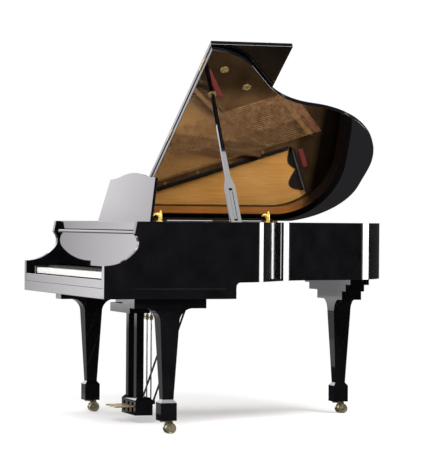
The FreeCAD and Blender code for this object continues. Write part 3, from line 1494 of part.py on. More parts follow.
def casters():
    for name, x, y in CASTERS:
        fork = f"caster_fork_{name}"
        plate_low = "foot_bottom - running_gap - caster_plate_height"
        axle_y = f"{y} + caster_trail"
        plate = rod(fork + "_plate", (x, y, plate_low), "caster_plate_radius", "caster_plate_height")
        stem = rod(fork + "_stem", (x, y, plate_low), "caster_stem_radius",
                   "caster_plate_height + running_gap + caster_stem_length")
        neck_low = "(wheel_radius - axle_radius)"
        neck_left = f"{x} - caster_neck_width / 2"
        neck = box(fork + "_neck", (neck_left, f"{axle_y} - caster_neck_length / 2", neck_low),
                   ("caster_neck_width", "caster_neck_length", f"{plate_low} - {neck_low}"))
        axle = rod(fork + "_axle", (f"{neck_left} - wheel_width", axle_y, "wheel_radius"),
                   "axle_radius", "caster_neck_width + 2 * wheel_width", "x")
        piece(fork, fuse(fork + "_joined", plate, stem, neck, axle))
        wheels = []
        near = f"{x} + caster_neck_width / 2 + running_gap"
        far = f"{neck_left} - running_gap - wheel_width"
        for side, start in (("near", near), ("far", far)):
            label = f"wheel_{name}_{side}"
            tyre = rod(label, (start, axle_y, "wheel_radius"), "wheel_radius", "wheel_width", "x")
            bore = rod(label + "_bore", (f"{start} - overrun", axle_y, "wheel_radius"),
                       "axle_radius + pin_fit", "wheel_width + 2 * overrun", "x")
            wheels.append(cut(label + "_cut", tyre, bore))
        piece(f"caster_wheels_{name}", group(f"wheel_pair_{name}", *wheels))


# Lyre and pedals

PEDALS = (("left", "(-pedal_pitch)"), ("middle", "0"), ("right", "pedal_pitch"))


def lyre_box(wall):
    block = box("lyre_block", ("-lyre_box_width / 2", "lyre_box_setback", "lyre_box_bottom"),
                ("lyre_box_width", "lyre_box_depth", "lyre_box_height"))
    bevelled = doc.addObject("Part::Chamfer", "lyre_block_bevel")
    bevelled.Base = block
    doc.recompute()
    top_z = block.Shape.BoundBox.ZMax
    edges = []
    for number, edge in enumerate(block.Shape.Edges, 1):
        if all(abs(v.Z - top_z) < size.pin_fit for v in edge.Vertexes):
            edges.append((number, size.lyre_box_bevel, size.lyre_box_bevel))
    bevelled.Edges = edges
    floor = f"lyre_box_bottom + {wall}"
    room = box("lyre_room", (f"-lyre_box_width / 2 + {wall}", f"lyre_box_setback + {wall}", floor),
               [f"lyre_box_{side} - 2 * {wall}" for side in ("width", "depth", "height")])
    tools = [room]
    for name, x in PEDALS:
        corner = (f"{x} - pedal_slot_width / 2", "lyre_box_setback - overrun", floor)
        tools.append(box(f"pedal_slot_{name}", corner,
                         ("pedal_slot_width", "lyre_box_depth + 2 * overrun", "pedal_slot_height")))
    return cut("lyre_hollow", bevelled, *tools)


def rod_guide(head_low):
    low = f"({head_low} + lyre_head_height / 2 - rod_guide_height / 2)"
    front = "(lyre_head_front + lyre_head_depth)"
    guide = box("rod_guide", ("-2 * pedal_pitch + pedal_slot_width", front, low),
                ("4 * pedal_pitch - 2 * pedal_slot_width", "rod_guide_depth", "rod_guide_height"))
    holes = []
    for name, x in PEDALS:
        holes.append(rod(f"guide_hole_{name}", (x, "pedal_pivot_setback + rod_reach", f"{low} - overrun"),
                         "rod_radius + rod_hole_gap", "rod_guide_height + 2 * overrun"))
    return cut("rod_guide_bored", guide, *holes)


def pedal_bearings(wall):
    solids = []
    floor = f"(lyre_box_bottom + {wall})"
    height = f"{pedal_axis_text} + 2 * pedal_pin_radius - {floor}"
    for name, x in PEDALS:
        left = f"{x} - pedal_slot_width / 2"
        solids.append(rod(f"pedal_pin_{name}", (left, "pedal_pivot_setback", pedal_axis_text),
                          "pedal_pin_radius", "pedal_slot_width", "x"))
        for side, edge in (("low", f"{left} - pedal_pin_radius"), ("high", f"{left} + pedal_slot_width")):
            corner = (edge, "pedal_pivot_setback - 2 * pedal_pin_radius", floor)
            solids.append(box(f"pedal_ear_{name}_{side}", corner,
                              ("pedal_pin_radius", "4 * pedal_pin_radius", height)))
    return solids


def lyre():
    head_low = "(keybed_bottom - lyre_head_height)"
    board_low = f"({head_low} - lyre_board_height)"
    head = box("lyre_head", ("-lyre_head_width / 2", "lyre_head_front", head_low),
               ("lyre_head_width", "lyre_head_depth", "lyre_head_height"))
    board = box("lyre_board", ("-lyre_head_width / 2", "lyre_board_front", board_low),
                ("lyre_head_width", "lyre_board_depth", "lyre_board_height"))
    box_top = "(lyre_box_bottom + lyre_box_height)"
    posts = []
    for name, middle in (("bass", "-post_pitch / 2"), ("treble", "post_pitch / 2")):
        posts.append(box(f"lyre_post_{name}", (f"{middle} - post_width / 2", "lyre_front", box_top),
                         ("post_width", "post_depth", f"{board_low} - {box_top}")))
    wall = "lyre_box_wall"
    solids = [head, board, *posts, lyre_box(wall), rod_guide(head_low), *pedal_bearings(wall)]
    return piece("lyre", group("lyre_set", *solids))


pedal_axis_text = "(pedal_height - pedal_thickness / 2)"


def pedals():
    for name, x in PEDALS:
        label = f"pedal_{name}"
        low = "pedal_height - pedal_thickness"
        toe_front = "(lyre_box_setback - pedal_reach)"
        toe = box(label + "_toe", (f"{x} - pedal_toe_width / 2", toe_front, low),
                  ("pedal_toe_width", "pedal_toe_length", "pedal_thickness"))
        arm_front = f"({toe_front} + pedal_toe_length / 2)"
        arm = box(label + "_arm", (f"{x} - pedal_width / 2", arm_front, low),
                  ("pedal_width", f"pedal_pivot_setback + pedal_heel - {arm_front}", "pedal_thickness"))
        bore = rod(label + "_bore", (f"{x} - pedal_slot_width", "pedal_pivot_setback", pedal_axis_text),
                   "pedal_pin_radius + pin_fit", "2 * pedal_slot_width", "x")
        joined = fuse(label + "_joined", toe, arm)
        piece(label, cut(label + "_bored", joined, bore))


def pedal_rods():
    for name, x in PEDALS:
        low = size.pedal_height + size.running_gap
        radius = size.rod_radius
        top = size.keybed_bottom - size.rod_top_gap
        middle = value_of(x)
        y = size.pedal_pivot_setback + size.rod_reach
        stem = post(middle, y, low + radius, radius, top - low - radius)
        dome = Part.makeSphere(radius, Vector(middle, y, low + radius))
        label = f"pedal_rod_{name}"
        piece(label, solid(label + "_stem", stem.fuse(dome).removeSplitter()))


def lyre_braces():
    solids = []
    back = size.lyre_box_setback + size.lyre_box_depth
    half = size.brace_shoe / 2
    for side in (-1, 1):
        x = side * size.brace_spread
        foot = Vector(x, back + half, size.brace_foot_height)
        head = Vector(x, size.brace_head_setback - half, size.keybed_bottom - half)
        rod_shape = bar(foot, head, size.brace_radius)
        for spot in (foot, head):
            corner = spot - Vector(half, half, half)
            rod_shape = rod_shape.fuse(Part.makeBox(2 * half, 2 * half, 2 * half, corner))
        solids.append(rod_shape.removeSplitter())
    return piece("lyre_braces", solid("lyre_brace_pair", Part.makeCompound(solids)))


def shelf_runners():
    solids = []
    for name, left in (("bass", f"-{inside_half_text}"), ("treble", f"{inside_half_text} - runner_width")):
        low = "shelf_bottom - running_gap - runner_height"
        solids.append(box(f"runner_{name}", (left, "runner_setback", low),
                          ("runner_width", "runner_length", "runner_height")))
    return piece("shelf_runners", group("runner_pair", *solids))


outer_rim()
inner_rim()
keybed()
case_beams()
soundboard()
bridges()
pinblock()
iron_plate()
plate_bolts()
tuning_pins()
plain_strings()
wound_strings()
string_felts()
dampers()
keyslip()
key_blocks()
key_frame()
hammers()
key_groups()
fallboard()
shelf_runners()
music_shelf()
music_desk()
desk_prop()
main_lid()
front_lid()
case_fittings()
lid_fittings()
flap_hinges()
lid_prop()
half_prop()
prop_block()
lid_hook("lid_hook_front", size.hook_front_setback)
lid_hook("lid_hook_rear", REAR_HOOK_SHARE * size.case_length)
front_legs()
tail_leg()
casters()
lyre()
pedals()
pedal_rods()
lyre_braces()

doc.recompute()
faults = [obj.Name for obj in doc.Objects if "Invalid" in obj.State or "Error" in obj.State]
faults += [obj.Label for obj in subparts if obj.Shape.isNull() or not obj.Shape.isValid()]
if faults:
    raise RuntimeError("faulty objects: " + ", ".join(faults))
os.makedirs("parts", exist_ok=True)
for obj in subparts:
    obj.Shape.exportStep(f"parts/{obj.Label}.step")
    print(obj.Label, len(obj.Shape.Solids), round(obj.Shape.Volume / 1000), "cm3")
print(len(subparts), "pieces")
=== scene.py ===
import json
import math

import bmesh
import bpy
import numpy as np
from mathutils import Matrix, Vector

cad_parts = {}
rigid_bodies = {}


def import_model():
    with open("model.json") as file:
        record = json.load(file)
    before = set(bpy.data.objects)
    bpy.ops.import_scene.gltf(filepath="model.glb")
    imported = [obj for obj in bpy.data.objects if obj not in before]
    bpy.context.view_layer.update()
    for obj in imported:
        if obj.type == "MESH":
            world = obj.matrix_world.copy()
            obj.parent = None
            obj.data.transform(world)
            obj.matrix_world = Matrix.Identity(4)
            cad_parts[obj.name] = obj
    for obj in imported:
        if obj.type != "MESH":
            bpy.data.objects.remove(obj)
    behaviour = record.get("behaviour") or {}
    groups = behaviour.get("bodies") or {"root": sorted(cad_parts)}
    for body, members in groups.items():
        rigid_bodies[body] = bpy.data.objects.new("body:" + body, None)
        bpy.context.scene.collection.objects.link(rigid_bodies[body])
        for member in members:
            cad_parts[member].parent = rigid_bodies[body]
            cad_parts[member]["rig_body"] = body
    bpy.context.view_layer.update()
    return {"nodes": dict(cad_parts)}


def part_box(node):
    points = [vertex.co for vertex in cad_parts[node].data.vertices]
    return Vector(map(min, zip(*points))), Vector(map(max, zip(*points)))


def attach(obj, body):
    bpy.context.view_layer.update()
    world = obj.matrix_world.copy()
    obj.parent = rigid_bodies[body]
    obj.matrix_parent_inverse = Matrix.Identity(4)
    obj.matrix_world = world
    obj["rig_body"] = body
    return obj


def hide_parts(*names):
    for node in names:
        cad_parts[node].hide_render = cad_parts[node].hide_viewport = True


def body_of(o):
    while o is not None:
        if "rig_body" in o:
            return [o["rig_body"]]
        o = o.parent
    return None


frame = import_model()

nodes = frame["nodes"]
print("frame loaded:", len(nodes), "nodes")

# middle of the case and fronts of the arms, seen from the frame's origin, in metres
spot = {"X": 0.01547, "Y": -0.8675}
corner = np.array([spot["X"], spot["Y"], 0.0])


def toLinear(hexText):
    # sRGB hex to linear RGBA
    srgb = np.array([int(hexText[i:i + 2], 16) for i in (1, 3, 5)]) / 255
    linear = np.where(srgb <= 0.04045, srgb / 12.92, ((srgb + 0.055) / 1.055) ** 2.4)
    return (*linear, 1.0)


def addNode(tree, kind, settings=None, links=None):
    # settings: socket or property -> value, or a ramp's "stops"
    # links: socket -> output that feeds it
    node = tree.nodes.new("ShaderNode" + kind)
    for key, value in (settings or {}).items():
        if key == "stops":
            for number, (place, colour) in enumerate(value):
                ramp = node.color_ramp.elements
                stop = ramp[number] if number < 2 else ramp.new(place)
                stop.position, stop.color = place, toLinear(colour)
        elif isinstance(key, int) or key in node.inputs:
            node.inputs[key].default_value = value
        else:
            setattr(node, key, value)
    for key, output in (links or {}).items():
        tree.links.new(output, node.inputs[key])
    return node


def startMaterial(name):
    # an empty tree and the place on the piece in metres
    material = bpy.data.materials.new(name)
    material.use_nodes = True
    tree = material.node_tree
    tree.nodes.clear()
    return material, tree, addNode(tree, "TexCoord").outputs["Object"]


def addNoise(tree, place, sizeMm, detail, roughness=0.5):
    # clouds between 0 and 1, of about that size
    settings = {"Scale": 1000 / sizeMm, "Detail": detail, "Roughness": roughness}
    return addNode(tree, "TexNoise", settings, {"Vector": place}).outputs["Fac"]


def addRamp(tree, value, levels, colours):
    # one colour at each level of the value
    stops = list(zip(levels, colours))
    return addNode(tree, "ValToRGB", {"stops": stops}, {"Fac": value}).outputs["Color"]


def addSpan(tree, value, source=(0, 1), target=(0, 1), kind="LINEAR"):
    # source levels turned into target levels, held beyond both ends
    names = ("From Min", "From Max", "To Min", "To Max")
    settings = dict(zip(names, (*source, *target)), interpolation_type=kind)
    return addNode(tree, "MapRange", settings, {"Value": value}).outputs["Result"]


def addTint(tree, colour, tint, mask):
    # the tint instead of the colour where the mask is 1
    settings = {"data_type": "RGBA", 7: toLinear(tint)}
    return addNode(tree, "Mix", settings, {0: mask, 6: colour}).outputs[2]


def addBump(tree, height, strength, depthMm):
    settings = {"Strength": strength, "Distance": depthMm / 1000}
    return addNode(tree, "Bump", settings, {"Height": height}).outputs["Normal"]


def addSurface(tree, settings, links):
    shader = addNode(tree, "BsdfPrincipled", settings, links)
    addNode(tree, "OutputMaterial", links={"Surface": shader.outputs[0]})


# Black polyester lacquer, sprayed thick and buffed: near black, mirror gloss, the faintest haze and
# waviness left by the buffing wheel. The lid's underside is polished to a mirror: it gives back the
# whole inside of the case, warm and a little darker. A mask on the face direction keeps it to that
# side. The flap's coat bends light more and so gives back a larger share than plain lacquer.
lacquer = {
    "colours": ("#050506", "#0b0a0c"), "levels": (0.3, 0.75), "hazeMm": 90, "hazeDetail": 5.0,
    "gloss": (0.02, 0.06), "waveMm": 45, "waveDetail": 1.0, "wave": 0.1, "waveDepthMm": 0.2,
    "bend": 1.55, "flapBend": 2.2,
    "mirrorTint": "#c9beb2", "mirrorFacing": (0.536, 0.0, -0.844), "mirrorEdge": (0.97, 0.99),
}


def makeLacquer(name, mirror=False, bend="bend"):
    material, tree, place = startMaterial(name)
    haze = addNoise(tree, place, lacquer["hazeMm"], lacquer["hazeDetail"])
    wave = addNoise(tree, place, lacquer["waveMm"], lacquer["waveDetail"])
    colour = addRamp(tree, haze, lacquer["levels"], lacquer["colours"])
    links = {"Base Color": colour, "Roughness": addSpan(tree, haze, target=lacquer["gloss"]),
             "Normal": addBump(tree, wave, lacquer["wave"], lacquer["waveDepthMm"])}
    if mirror:
        facing = addNode(tree, "TexCoord").outputs["Normal"]
        along = {"operation": "DOT_PRODUCT", 1: lacquer["mirrorFacing"]}
        side = addNode(tree, "VectorMath", along, {0: facing}).outputs["Value"]
        mask = addSpan(tree, side, lacquer["mirrorEdge"])
        links["Base Color"] = addTint(tree, colour, lacquer["mirrorTint"], mask)
        links["Metallic"] = mask
    addSurface(tree, {"IOR": lacquer[bend]}, links)
    return material


blackLacquer = makeLacquer("blackPolyesterLacquer")
lidLacquer = makeLacquer("polishedLidLacquer", mirror=True)
flapLacquer = makeLacquer("polishedFlapLacquer", bend="flapBend")

# Cast iron plate: sand cast, sprayed with bronze powder and clear varnish. Soft brown gold with a
# grainy skin and blotches. Painted shade darkens it on the treble side, by the place across the
# case, and round the tail to near black, by the distance back from the arm fronts.
plateFinish = {
    "colours": ("#5f4932", "#84684a"), "levels": (0.32, 0.62), "blotchMm": 130, "blotchDetail": 4.0,
    "skinMm": 1.6, "skinDetail": 3.0, "skin": 0.35, "skinDepthMm": 0.3,
    "metallic": 0.45, "roughness": 0.36,
}
plateShading = {
    "X": {"span": (-0.12, -0.02), "levels": (0.0, 1.0), "tints": ("#ffffff", "#8d9092")},
    "Y": {"span": (1.44, 1.64), "levels": (0.0, 0.2, 0.6, 0.8),
          "tints": ("#ffffff", "#9a9c9e", "#9a9c9e", "#2c2e31")},
}


def makePlateFinish():
    plate = plateFinish
    material, tree, place = startMaterial("bronzedCastIron")
    blotch = addNoise(tree, place, plate["blotchMm"], plate["blotchDetail"])
    colour = addRamp(tree, blotch, plate["levels"], plate["colours"])
    split = addNode(tree, "SeparateXYZ", links={0: place}).outputs
    multiply = {"data_type": "RGBA", "blend_type": "MULTIPLY", 0: 1.0}
    # painted shade: each axis multiplies the colour by a darker tint over its span
    for axis, shade in plateShading.items():
        share = addSpan(tree, split[axis], np.array(shade["span"]) + spot[axis])
        tint = addRamp(tree, share, shade["levels"], shade["tints"])
        colour = addNode(tree, "Mix", multiply, {6: colour, 7: tint}).outputs[2]
    skin = addNoise(tree, place, plate["skinMm"], plate["skinDetail"])
    normal = addBump(tree, skin, plate["skin"], plate["skinDepthMm"])
    addSurface(tree, {"Metallic": plate["metallic"], "Roughness": plate["roughness"]},
               {"Base Color": colour, "Normal": normal})
    return material


bronzedIron = makePlateFinish()

# Sawn timber under clear lacquer: grain stretched along one direction, fine pores across it. The
# grain is a few times coarser than life, to show at the size of the picture. The soundboard is
# darker towards the treble side, and painted shade darkens the rim veneer towards the tail.
timberGrain = {
    "stretch": 0.05, "detail": 6.0, "roughness": 0.65, "cloudMm": 260, "cloudDetail": 2.0,
    "cloudShare": 0.35, "levels": (0.36, 0.64), "pores": 0.15, "poreDepthMm": 0.2,
    "coatGloss": 0.12,
}
timbers = {
    "varnishedSpruce": {"colours": ("#c8944b", "#e6b974"), "grainMm": 7, "turn": 38, "gloss": 0.3,
                        "coat": 0.5, "stain": (-0.35, -0.15), "stainAxis": "X",
                        "stained": "#a27f4d"},
    "lacqueredMaple": {"colours": ("#785536", "#9c7550"), "grainMm": 9, "turn": 12, "gloss": 0.32,
                       "coat": 0.4},
    "planedBeech": {"colours": ("#946a3e", "#b98d5c"), "grainMm": 8, "turn": 0, "gloss": 0.5,
                    "coat": 0.0},
    # painted shade: the veneer goes near black towards the tail
    "mahoganyVeneer": {"colours": ("#744824", "#a06a36"), "grainMm": 12, "turn": 0, "gloss": 0.22,
                       "coat": 0.6, "stain": (1.44, 1.58), "stainAxis": "Y",
                       "stained": "#1c1613"},
}


def makeTimber(name):
    timber, shared = timbers[name], timberGrain
    material, tree, place = startMaterial(name)
    lay = {"Rotation": (0, 0, math.radians(timber["turn"])), "Scale": (1, shared["stretch"], 1)}
    turned = addNode(tree, "Mapping", lay, {"Vector": place}).outputs["Vector"]
    grain = addNoise(tree, turned, timber["grainMm"], shared["detail"], shared["roughness"])
    cloud = addNoise(tree, place, shared["cloudMm"], shared["cloudDetail"])
    both = addNode(tree, "Mix", {0: shared["cloudShare"]}, {2: grain, 3: cloud}).outputs[0]
    colour = addRamp(tree, both, shared["levels"], timber["colours"])
    # a darker colour over a span along one axis; on the rim veneer it is painted shade
    if "stain" in timber:
        axis = timber["stainAxis"]
        split = addNode(tree, "SeparateXYZ", links={0: place}).outputs
        mask = addSpan(tree, split[axis], np.array(timber["stain"]) + spot[axis])
        colour = addTint(tree, colour, timber["stained"], mask)
    normal = addBump(tree, grain, shared["pores"], shared["poreDepthMm"])
    addSurface(tree, {"Roughness": timber["gloss"], "Coat Weight": timber["coat"],
                      "Coat Roughness": shared["coatGloss"]},
               {"Base Color": colour, "Normal": normal})
    return material


spruceBoard, mapleWood, beechWood, rimVeneerWood = map(makeTimber, timbers)

# Metals: cast or drawn, then polished. A cloudy roughness is what the buffing wheel and hands
# leave. Wire scatters like a matt metal because its windings and its many strands break the mirror
# up. The scale of the windings is that of a wave pattern along the string.
metalPolish = {"levels": (0.35, 0.65), "detail": 4.0, "winding": 0.6, "windingDepthMm": 0.4}
metals = {
    "polishedBrass": {"colours": ("#c2a465", "#ead7a0"), "gloss": (0.1, 0.26), "smearMm": 22,
                      "metallic": 0.75},
    "agedBrass": {"colours": ("#9a8f70", "#dcd3b2"), "gloss": (0.14, 0.3), "smearMm": 14,
                  "metallic": 0.85},
    "castBrass": {"colours": ("#d0a548", "#f0cf72"), "gloss": (0.2, 0.34), "smearMm": 15,
                  "metallic": 0.6},
    "drawnSteelWire": {"colours": ("#6e665d", "#8f867b"), "gloss": (0.25, 0.4), "smearMm": 30,
                       "metallic": 0.4},
    "bluedSteelPin": {"colours": ("#5a5654", "#8f8a86"), "gloss": (0.2, 0.35), "smearMm": 12,
                      "metallic": 1.0},
    "copperWinding": {"colours": ("#7d6145", "#a98763"), "gloss": (0.3, 0.45), "smearMm": 30,
                      "metallic": 0.4, "windingScale": 35.7143},
    "nickelledSteel": {"colours": ("#a9a5a0", "#cfcbc6"), "gloss": (0.12, 0.24), "smearMm": 35,
                       "metallic": 1.0},
}


def makeMetal(name):
    metal, shared = metals[name], metalPolish
    material, tree, place = startMaterial(name)
    smear = addNoise(tree, place, metal["smearMm"], shared["detail"])
    links = {"Base Color": addRamp(tree, smear, shared["levels"], metal["colours"]),
             "Roughness": addSpan(tree, smear, target=metal["gloss"])}
    if "windingScale" in metal:
        settings = {"bands_direction": "Y", "Scale": metal["windingScale"]}
        turns = addNode(tree, "TexWave", settings, {"Vector": place}).outputs["Fac"]
        links["Normal"] = addBump(tree, turns, shared["winding"], shared["windingDepthMm"])
    addSurface(tree, {"Metallic": metal["metallic"]}, links)
    return material


(polishedBrass, agedBrass, castBrass, steelWire, bluedSteel, copperWinding,
 nickelSteel) = map(makeMetal, metals)

# Pressed wool felt: matt, fuzzy, mottled where the fibres bunch.
feltFibre = {"fibreMm": 2.2, "detail": 7.0, "roughness": 0.75, "levels": (0.3, 0.7), "fuzz": 0.8,
             "fuzzDepthMm": 0.8, "gloss": 0.95, "sheen": 0.3, "sheenGloss": 0.5}
felts = {"redWoolFelt": ("#4e1a1c", "#7b2c2f"), "whiteWoolFelt": ("#cfc6b2", "#ece6d8"),
         "blackWoolFelt": ("#060506", "#121011")}


def makeFelt(name):
    wool = feltFibre
    material, tree, place = startMaterial(name)
    fibre = addNoise(tree, place, wool["fibreMm"], wool["detail"], wool["roughness"])
    addSurface(tree, {"Roughness": wool["gloss"], "Sheen Weight": wool["sheen"],
                      "Sheen Roughness": wool["sheenGloss"]},
               {"Base Color": addRamp(tree, fibre, wool["levels"], felts[name]),
                "Normal": addBump(tree, fibre, wool["fuzz"], wool["fuzzDepthMm"])})
    return material


redFelt, whiteFelt, blackFelt = map(makeFelt, felts)

# Moulded acrylic key tops: warm white, satin gloss, slightly yellower in soft patches.
keyAcrylic = {"colours": ("#d6d2c8", "#e4e2dd"), "levels": (0.35, 0.65), "patchMm": 60,
              "detail": 3.0, "bend": 1.49, "gloss": 0.16, "milk": 0.06, "milkDepthMm": 4}


def makeKeyTop():
    acrylic = keyAcrylic
    material, tree, place = startMaterial("acrylicKeyTop")
    patch = addNoise(tree, place, acrylic["patchMm"], acrylic["detail"])
    addSurface(tree, {"IOR": acrylic["bend"], "Roughness": acrylic["gloss"],
                      "Subsurface Weight": acrylic["milk"],
                      "Subsurface Scale": acrylic["milkDepthMm"] / 1000},
               {"Base Color": addRamp(tree, patch, acrylic["levels"], acrylic["colours"])})
    return material


keyTop = makeKeyTop()

# Stained hardwood sharps: black, satin, with a long fine grain.
sharpStain = {"colours": ("#0b0a0a", "#1b1817"), "levels": (0.3, 0.7), "grainMm": 2.5,
              "stretch": 0.06, "detail": 5.0, "gloss": (0.3, 0.45), "pores": 0.2,
              "poreDepthMm": 0.2, "bend": 1.5}


def makeSharpWood():
    stain = sharpStain
    material, tree, place = startMaterial("stainedEbony")
    drawn = addNode(tree, "Mapping", {"Scale": (1, stain["stretch"], 1)}, {"Vector": place})
    grain = addNoise(tree, drawn.outputs["Vector"], stain["grainMm"], stain["detail"])
    addSurface(tree, {"IOR": stain["bend"]},
               {"Base Color": addRamp(tree, grain, stain["levels"], stain["colours"]),
                "Roughness": addSpan(tree, grain, target=stain["gloss"]),
                "Normal": addBump(tree, grain, stain["pores"], stain["poreDepthMm"])})
    return material


sharpWood = makeSharpWood()
print("materials made:", len(bpy.data.materials))


def addObject(name, data):
    holder = bpy.data.objects.new(name, data)
    bpy.context.scene.collection.objects.link(holder)
    return holder


# Surfaces: a stack of grids, each rows x columns of points, joined into quads. Columns wrap round
# into a tube, and the open ends of a tube are closed with one face each.
gridJoin = {"mergeMm": 0.0001, "smoothDegrees": 40}


def buildGrids(name, grids, finish, body, capped=True):
    grids = np.asarray(grids, float)
    if grids.ndim == 3:
        grids = grids[None]
    count, rows, columns, _ = grids.shape
    index = np.arange(count * rows * columns).reshape(count, rows, columns)
    right = np.roll(index, -1, axis=2)
    quads = np.stack([index[:, :-1], right[:, :-1], right[:, 1:], index[:, 1:]], axis=-1)
    faces = quads.reshape(-1, 4).tolist()
    if capped:
        faces += index[:, 0, ::-1].tolist()
        faces += index[:, -1].tolist()
    mesh = bpy.data.meshes.new(name)
    mesh.from_pydata(grids.reshape(-1, 3).tolist(), [], faces)
    shell = bmesh.new()
    shell.from_mesh(mesh)
    bmesh.ops.remove_doubles(shell, verts=shell.verts, dist=gridJoin["mergeMm"] / 1000)
    bmesh.ops.recalc_face_normals(shell, faces=shell.faces)
    shell.to_mesh(mesh)
    shell.free()
    mesh.shade_smooth()
    mesh.set_sharp_from_angle(angle=math.radians(gridJoin["smoothDegrees"]))
    mesh.materials.append(finish)
    piece = addObject(name, mesh)
    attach(piece, body)
    return piece


def unit(vectors):
    return vectors / np.linalg.norm(vectors, axis=-1, keepdims=True)


# A closed ring (cos a, sin a) with both parts raised to powers below 1, which squares the circle.
def squaredRing(sides, powers=(1, 1)):
    angle = np.linspace(0, 2 * np.pi, sides, endpoint=False)
    ring = np.column_stack([np.cos(angle), np.sin(angle)])
    return np.sign(ring) * np.abs(ring) ** np.array(powers)


# A round section carried along a path: at each point the circle (cos a, sin a) times the radius
# there lies in the plane across the path.
def sweepTube(path, radii, sides, upright):
    ahead = unit(np.gradient(path, axis=0))
    acrossDir = unit(np.cross(ahead, np.broadcast_to(upright, path.shape)))
    upDir = np.cross(acrossDir, ahead)
    ring = squaredRing(sides) * np.asarray(radii, float)[:, None, None]
    return path[:, None] + acrossDir[:, None] * ring[..., :1] + upDir[:, None] * ring[..., 1:]


# A flat section of (sideways, height) pairs, or one for each point, carried along a line in plan,
# sideways to the right of it.
def carrySection(line, section):
    line, section = np.asarray(line, float), np.asarray(section, float)
    ahead = unit(np.gradient(line, axis=0))
    right = np.column_stack([ahead[:, 1], -ahead[:, 0]])
    flat = line[:, None] + section[..., :1] * right[:, None]
    height = np.broadcast_to(section[..., 1], flat.shape[:2])
    return np.dstack([flat, height]) + corner


def straightLine(start, end, rows, share=(0, 1)):
    # points from start to end, or over a share of the way
    start, end = np.asarray(start), np.asarray(end)
    return start + (end - start) * np.linspace(*share, rows)[:, None]


def uprightSection(half, low, high):
    return [(-half, low), (half, low), (half, high), (-half, high)]


# A profile of (radius, height) pairs turned round an axis through a point. The ring starts across
# a slanting direction, which no axis here lies along.
slanting = (0.3, 0.9, 0.31)


def turnProfile(profile, origin, axis, sides):
    profile = np.asarray(profile, float)
    axis = unit(np.asarray(axis, float))
    first = unit(np.cross(axis, slanting))
    second = np.cross(axis, first)
    ring = squaredRing(sides) @ np.stack([first, second])
    return np.asarray(origin) + profile[:, 1, None, None] * axis + profile[:, 0, None, None] * ring


def smoothStep(value, low, high):
    share = np.clip((value - low) / (high - low), 0, 1)
    return share * share * (3 - 2 * share)


# Cabinet pieces: the node's own shape, its triangles merged back into faces and every edge eased
# with a small round, in mm, as sanding leaves it under lacquer.
cabinet = {
    "outer_rim": (blackLacquer, 0.6), "keybed": (blackLacquer, 1.5),
    "keyslip": (blackLacquer, 2.0), "key_blocks": (blackLacquer, 2.0),
    "fallboard": (blackLacquer, 2.5), "music_shelf": (blackLacquer, 1.5),
    "music_desk": (blackLacquer, 2.0), "desk_prop": (blackLacquer, 1.0),
    "main_lid": (lidLacquer, 2.5), "front_lid": (flapLacquer, 2.5),
    "lid_prop": (blackLacquer, 1.5), "half_prop": (blackLacquer, 1.0),
    "prop_block": (blackLacquer, 1.5), "leg_treble": (blackLacquer, 2.0),
    "leg_bass": (blackLacquer, 2.0), "leg_tail": (blackLacquer, 2.0),
    "lyre": (blackLacquer, 2.0), "dampers": (blackLacquer, 0.8),
    "iron_plate": (bronzedIron, 2.0), "caster_fork_treble": (agedBrass, 1.0),
    "caster_fork_bass": (agedBrass, 1.0), "caster_fork_tail": (agedBrass, 1.0),
}
keyEasing = {"groups": 5, "natural": 0.7, "sharp": 1.6}
for number in range(1, keyEasing["groups"] + 1):
    cabinet[f"natural_keys_{number}"] = (keyTop, keyEasing["natural"])
    cabinet[f"sharp_keys_{number}"] = (sharpWood, keyEasing["sharp"])
easing = {"mergeMm": 0.002, "flatDegrees": 0.4, "segments": 2, "edgeDegrees": 32, "faceWeight": 100}


def easeEdges(node, finish, edgeMm):
    source = nodes[node]
    shell = bmesh.new()
    shell.from_mesh(source.data)
    bmesh.ops.remove_doubles(shell, verts=shell.verts, dist=easing["mergeMm"] / 1000)
    bmesh.ops.dissolve_limit(shell, angle_limit=math.radians(easing["flatDegrees"]),
                             use_dissolve_boundaries=False, verts=shell.verts, edges=shell.edges)
    mesh = bpy.data.meshes.new(node + "Eased")
    shell.to_mesh(mesh)
    shell.free()
    mesh.shade_smooth()
    mesh.materials.append(finish)
    piece = addObject(node + "Eased", mesh)
    bevel = piece.modifiers.new("easedEdge", "BEVEL")
    bevel.width = edgeMm / 1000
    bevel.segments = easing["segments"]
    bevel.limit_method = "ANGLE"
    bevel.angle_limit = math.radians(easing["edgeDegrees"])
    bevel.use_clamp_overlap = True
    weighted = piece.modifiers.new("flatFaces", "WEIGHTED_NORMAL")
    weighted.weight = easing["faceWeight"]
    weighted.keep_sharp = False
    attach(piece, body_of(source)[0])
    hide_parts(node)


for node, (finish, edgeMm) in cabinet.items():
    easeEdges(node, finish, edgeMm)
print("cabinet pieces eased:", len(cabinet))

# Nodes whose shape is already right keep it and take the finish of the real material.
keptFinishes = {
    "inner_rim": mapleWood, "case_beams": beechWood, "soundboard": spruceBoard,
    "bridges": mapleWood, "pinblock": mapleWood, "plate_bolts": polishedBrass,
    "tuning_pins": bluedSteel, "plain_strings": steelWire, "wound_strings": copperWinding,
    "case_fittings": polishedBrass, "lid_fittings": polishedBrass, "flap_hinges": polishedBrass,
    "key_frame": beechWood, "shelf_runners": mapleWood, "pedal_rod_left": nickelSteel,
    "pedal_rod_middle": nickelSteel, "pedal_rod_right": nickelSteel, "lyre_braces": bluedSteel,
}
for node, finish in keptFinishes.items():
    mesh = nodes[node].data
    mesh.materials.clear()
    mesh.materials.append(finish)
print("kept nodes finished:", len(keptFinishes))

# The plan of the case: straight treble side, shoulder bend, short bentside, hollow waist, round
# tail, bass corner and straight spine. Lengths in metres, radii and the bentside's run as shares of
# the length, angles in degrees.
casePlan = {"length": 1.725, "width": 1.5, "shoulder": 0.2203, "run": 0.10435, "waist": 0.28116,
            "tail": 0.32816, "corner": 0.2029, "turn": 50, "heading": 9, "arcSteps": 60}


